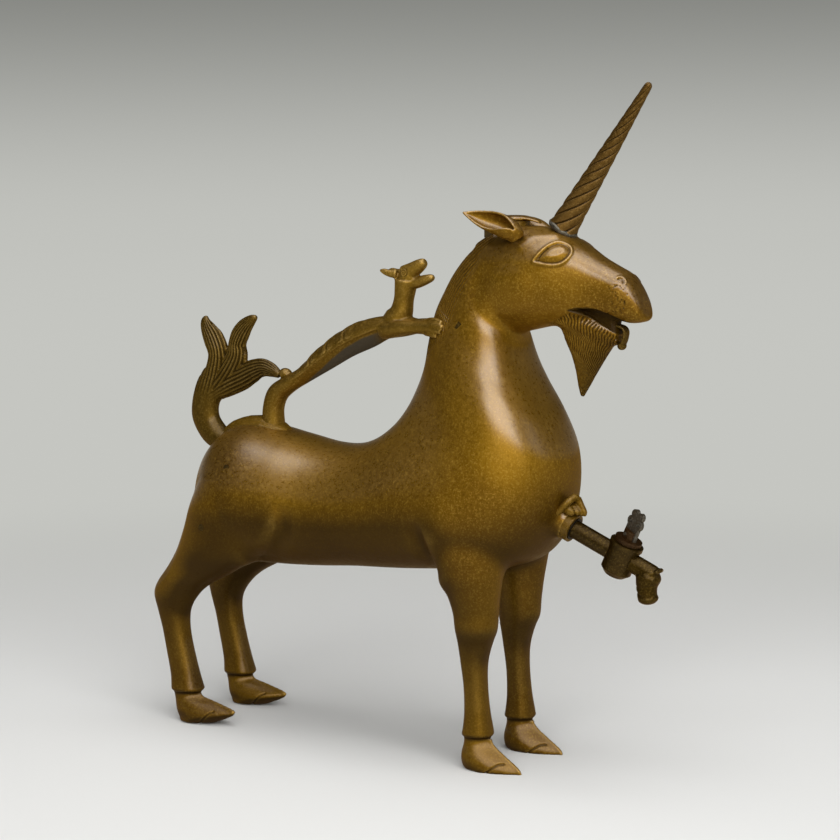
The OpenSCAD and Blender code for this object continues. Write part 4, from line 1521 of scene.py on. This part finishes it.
def add_handle():
    """A long beast with a wound back, curled eyes and forepaws on the neck."""
    shapes = [skin_over(flat_stem_ring, HANDLE, 72, 8)]
    shapes.extend([tube(table, 32) for table in (BEAST_NECK, BEAST_MUZZLE, BEAST_JAW)])
    shapes.append(ball((28.4, 0, 281.8), (6.2, 5.6, 5)))
    for shape in [tube(BEAST_EAR), tube(FORELEG)] + [tube(toe, 16, 4) for toe in TOES]:
        shapes.extend(both(shape))
    shapes.append(ball((-60.2, 0, 219.6), (4.4, 4, 3.6), 20))
    obj = cast("beast_cast", shapes, voxel=0.55, smoothing=3)
    p = read_points(obj)
    x, y, z = p.T
    wound = (x * 0.85 + z * 0.5) / WINDING + np.arctan2(y, 6) * -0.55
    w = np.abs((wound % 1) - 0.5) * 2
    crease = bell(1 - w, 0.16)
    on_back = (read_normals(obj)[:, 2] > 0.1) * step(-52, -40, x) * step(4, -8, x)
    far, turn = polar(from_side(p), BEAST_EYE)
    swirl = ridges(far / 1.25 - turn / (2 * np.pi)) ** 2
    eyes = (np.abs(y) > 2) * step(3.6, 2.9, far) * swirl
    push(obj, on_back * (w - 0.9 * crease) - 0.4 * eyes)
    # Darker creases of the winding and curls of the eyes: grime and painted shade.
    dirt_and_shade = 0.3 * on_back * crease + 0.6 * eyes
    edge = np.array(BACK_EDGE)
    below = np.interp(x, edge[:, 0], edge[:, 1]) - z
    set_layer(obj, "bare", step(-0.4, 0.8, below) * step(-46, -40, x) * step(18, 6, x))
    finish_piece(obj, HANDLE_METAL, "vessel", ("beast_handle",), reach=8, dirt_and_shade=dirt_and_shade)


add_handle()


# Mask over the collar, and spout

# Pipe of the spout: distance from the tap's middle, and radius.
SPOUT_PIPE = [(7.4, 5.4), (14, 5.4), (19, 5.4), (22, 5.2), (23.4, 4.6)]
# Crest of the spout's beast: X, Y, Z and radius. Lips and brow are lines of X and Z.
SPOUT_CREST = [[194, -4.2, 122.2, 1.1], [194.7, 0, 122.7, 1.4], [194, 4.2, 122.2, 1.1]]
SPOUT_LIPS = [(181, 109.8), (186, 107.4), (191, 107.6)]
SPOUT_BROW = [(181, 113), (186, 112), (192, 114)]
SPOUT_BORE_R = 2.2


def add_mask():
    """A small face whose far brow sits lower than the near one."""
    shapes = [skin_over(stem_ring, MASK, 40, 6)]
    shapes.append(mirrored(tube(MASK_BROW, 20, 6)))
    shapes.append(tube([[x - 2, y, z - 3, r] for x, y, z, r in MASK_BROW], 20, 6))
    shapes.append(tube(MASK_NOSE, 20, 6))
    shapes.extend(both(ball((139.2, 5.2, 153), (4.6, 2.4, 2.8), 30)))
    shapes.extend(both(ball((143.4, 2.6, 152), (2.4, 1.8, 1.8), 45)))
    obj = cast("mask_cast", shapes, voxel=0.4, smoothing=4)
    finish_piece(obj, SOFT, "vessel", ("collar_mask",), reach=10)


def add_spout():
    """An elbow that ends in a small hanging beast head."""
    shapes = [tap_tube(SPOUT_PIPE, 40, 4), skin_over(level_ring, SPOUT, 48, 6), tube(SPOUT_CREST, 20, 5)]
    shapes.extend(both(ball((191.6, 3.2, 117.6), (2.2, 2.6, 2))))
    shapes.extend(both(ball((190.4, 2.4, 105.8), (2.2, 2.2, 1.8))))
    obj = cast("spout_cast", shapes, voxel=0.4, smoothing=3)
    flat = from_side(read_points(obj))
    lips = line_distance(flat, SPOUT_LIPS)
    brow = line_distance(flat, SPOUT_BROW)
    push(obj, -0.5 * bell(lips, 0.6) - 0.3 * bell(brow, 0.8))
    cut(obj, [tube([[187, 0, z, SPOUT_BORE_R] for z in (95, 112, 118)], 24, 3)])
    finish_piece(obj, TAP_METAL, "vessel", ("spout_head",), reach=8)


add_mask()
add_spout()


# Tongue

# Path of the strap from the mouth over the lip, X and Z, and the curl at its end.
TONGUE = [
    (152, 259.2), (160, 259.2), (165.4, 259), (170, 258.2),
    (172, 256), (171.8, 252.6), (170.8, 249.6), (169, 247.6),
]
CURL_AT = (169.6, 0, 247.6)
CURL_SIZE = (2.4, 3.6, 2.4)


def add_tongue():
    """A strap that hangs over the lip and ends in a curl."""
    line = smooth_rows(TONGUE, 8)
    a = around(28)
    rings = []
    for k, (place, way) in enumerate(zip(line, unit_ways(line))):
        t = k / (len(line) - 1)
        half_wide = 3.6 - 0.3 * t
        half_thick = 1.0 + 0.5 * max(t - 0.75, 0)
        across = half_thick * sign_pow(np.cos(a), 0.7)
        side = half_wide * sign_pow(np.sin(a), 0.7)
        rings.append(columns(place[0] - way[1] * across, side, place[1] + way[0] * across))
    shapes = [skin(rings), ball(CURL_AT, CURL_SIZE)]
    obj = cast("tongue_strap", shapes, voxel=0.35, smoothing=2)
    finish_piece(obj, DARK, "vessel", ("tongue",), reach=6)


add_tongue()


# Pieces kept as they come from model.glb

LOOKS = {
    "pipe_packing": PACKING,
    "core_pins": TAP_METAL,
    "spigot_pipe": TAP_METAL,
    "tap_barrel": TAP_METAL,
    "tap_plug": PLUG_METAL,
    "tap_key": WORN,
    "key_rivet": WORN,
    "rump_pad": SOFT,
    "spigot_collar": SOFT,
    "filler_rim": SOFT,
}
EDGE_WIDTH = 0.3
EDGE_ANGLE = math.radians(50)

for name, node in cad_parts.items():
    use(node, LOOKS.get(name, DARK))
    edge = node.modifiers.new("edge", "BEVEL")
    edge.width = EDGE_WIDTH * MM
    edge.segments = 2
    edge.limit_method = "ANGLE"
    edge.angle_limit = EDGE_ANGLE
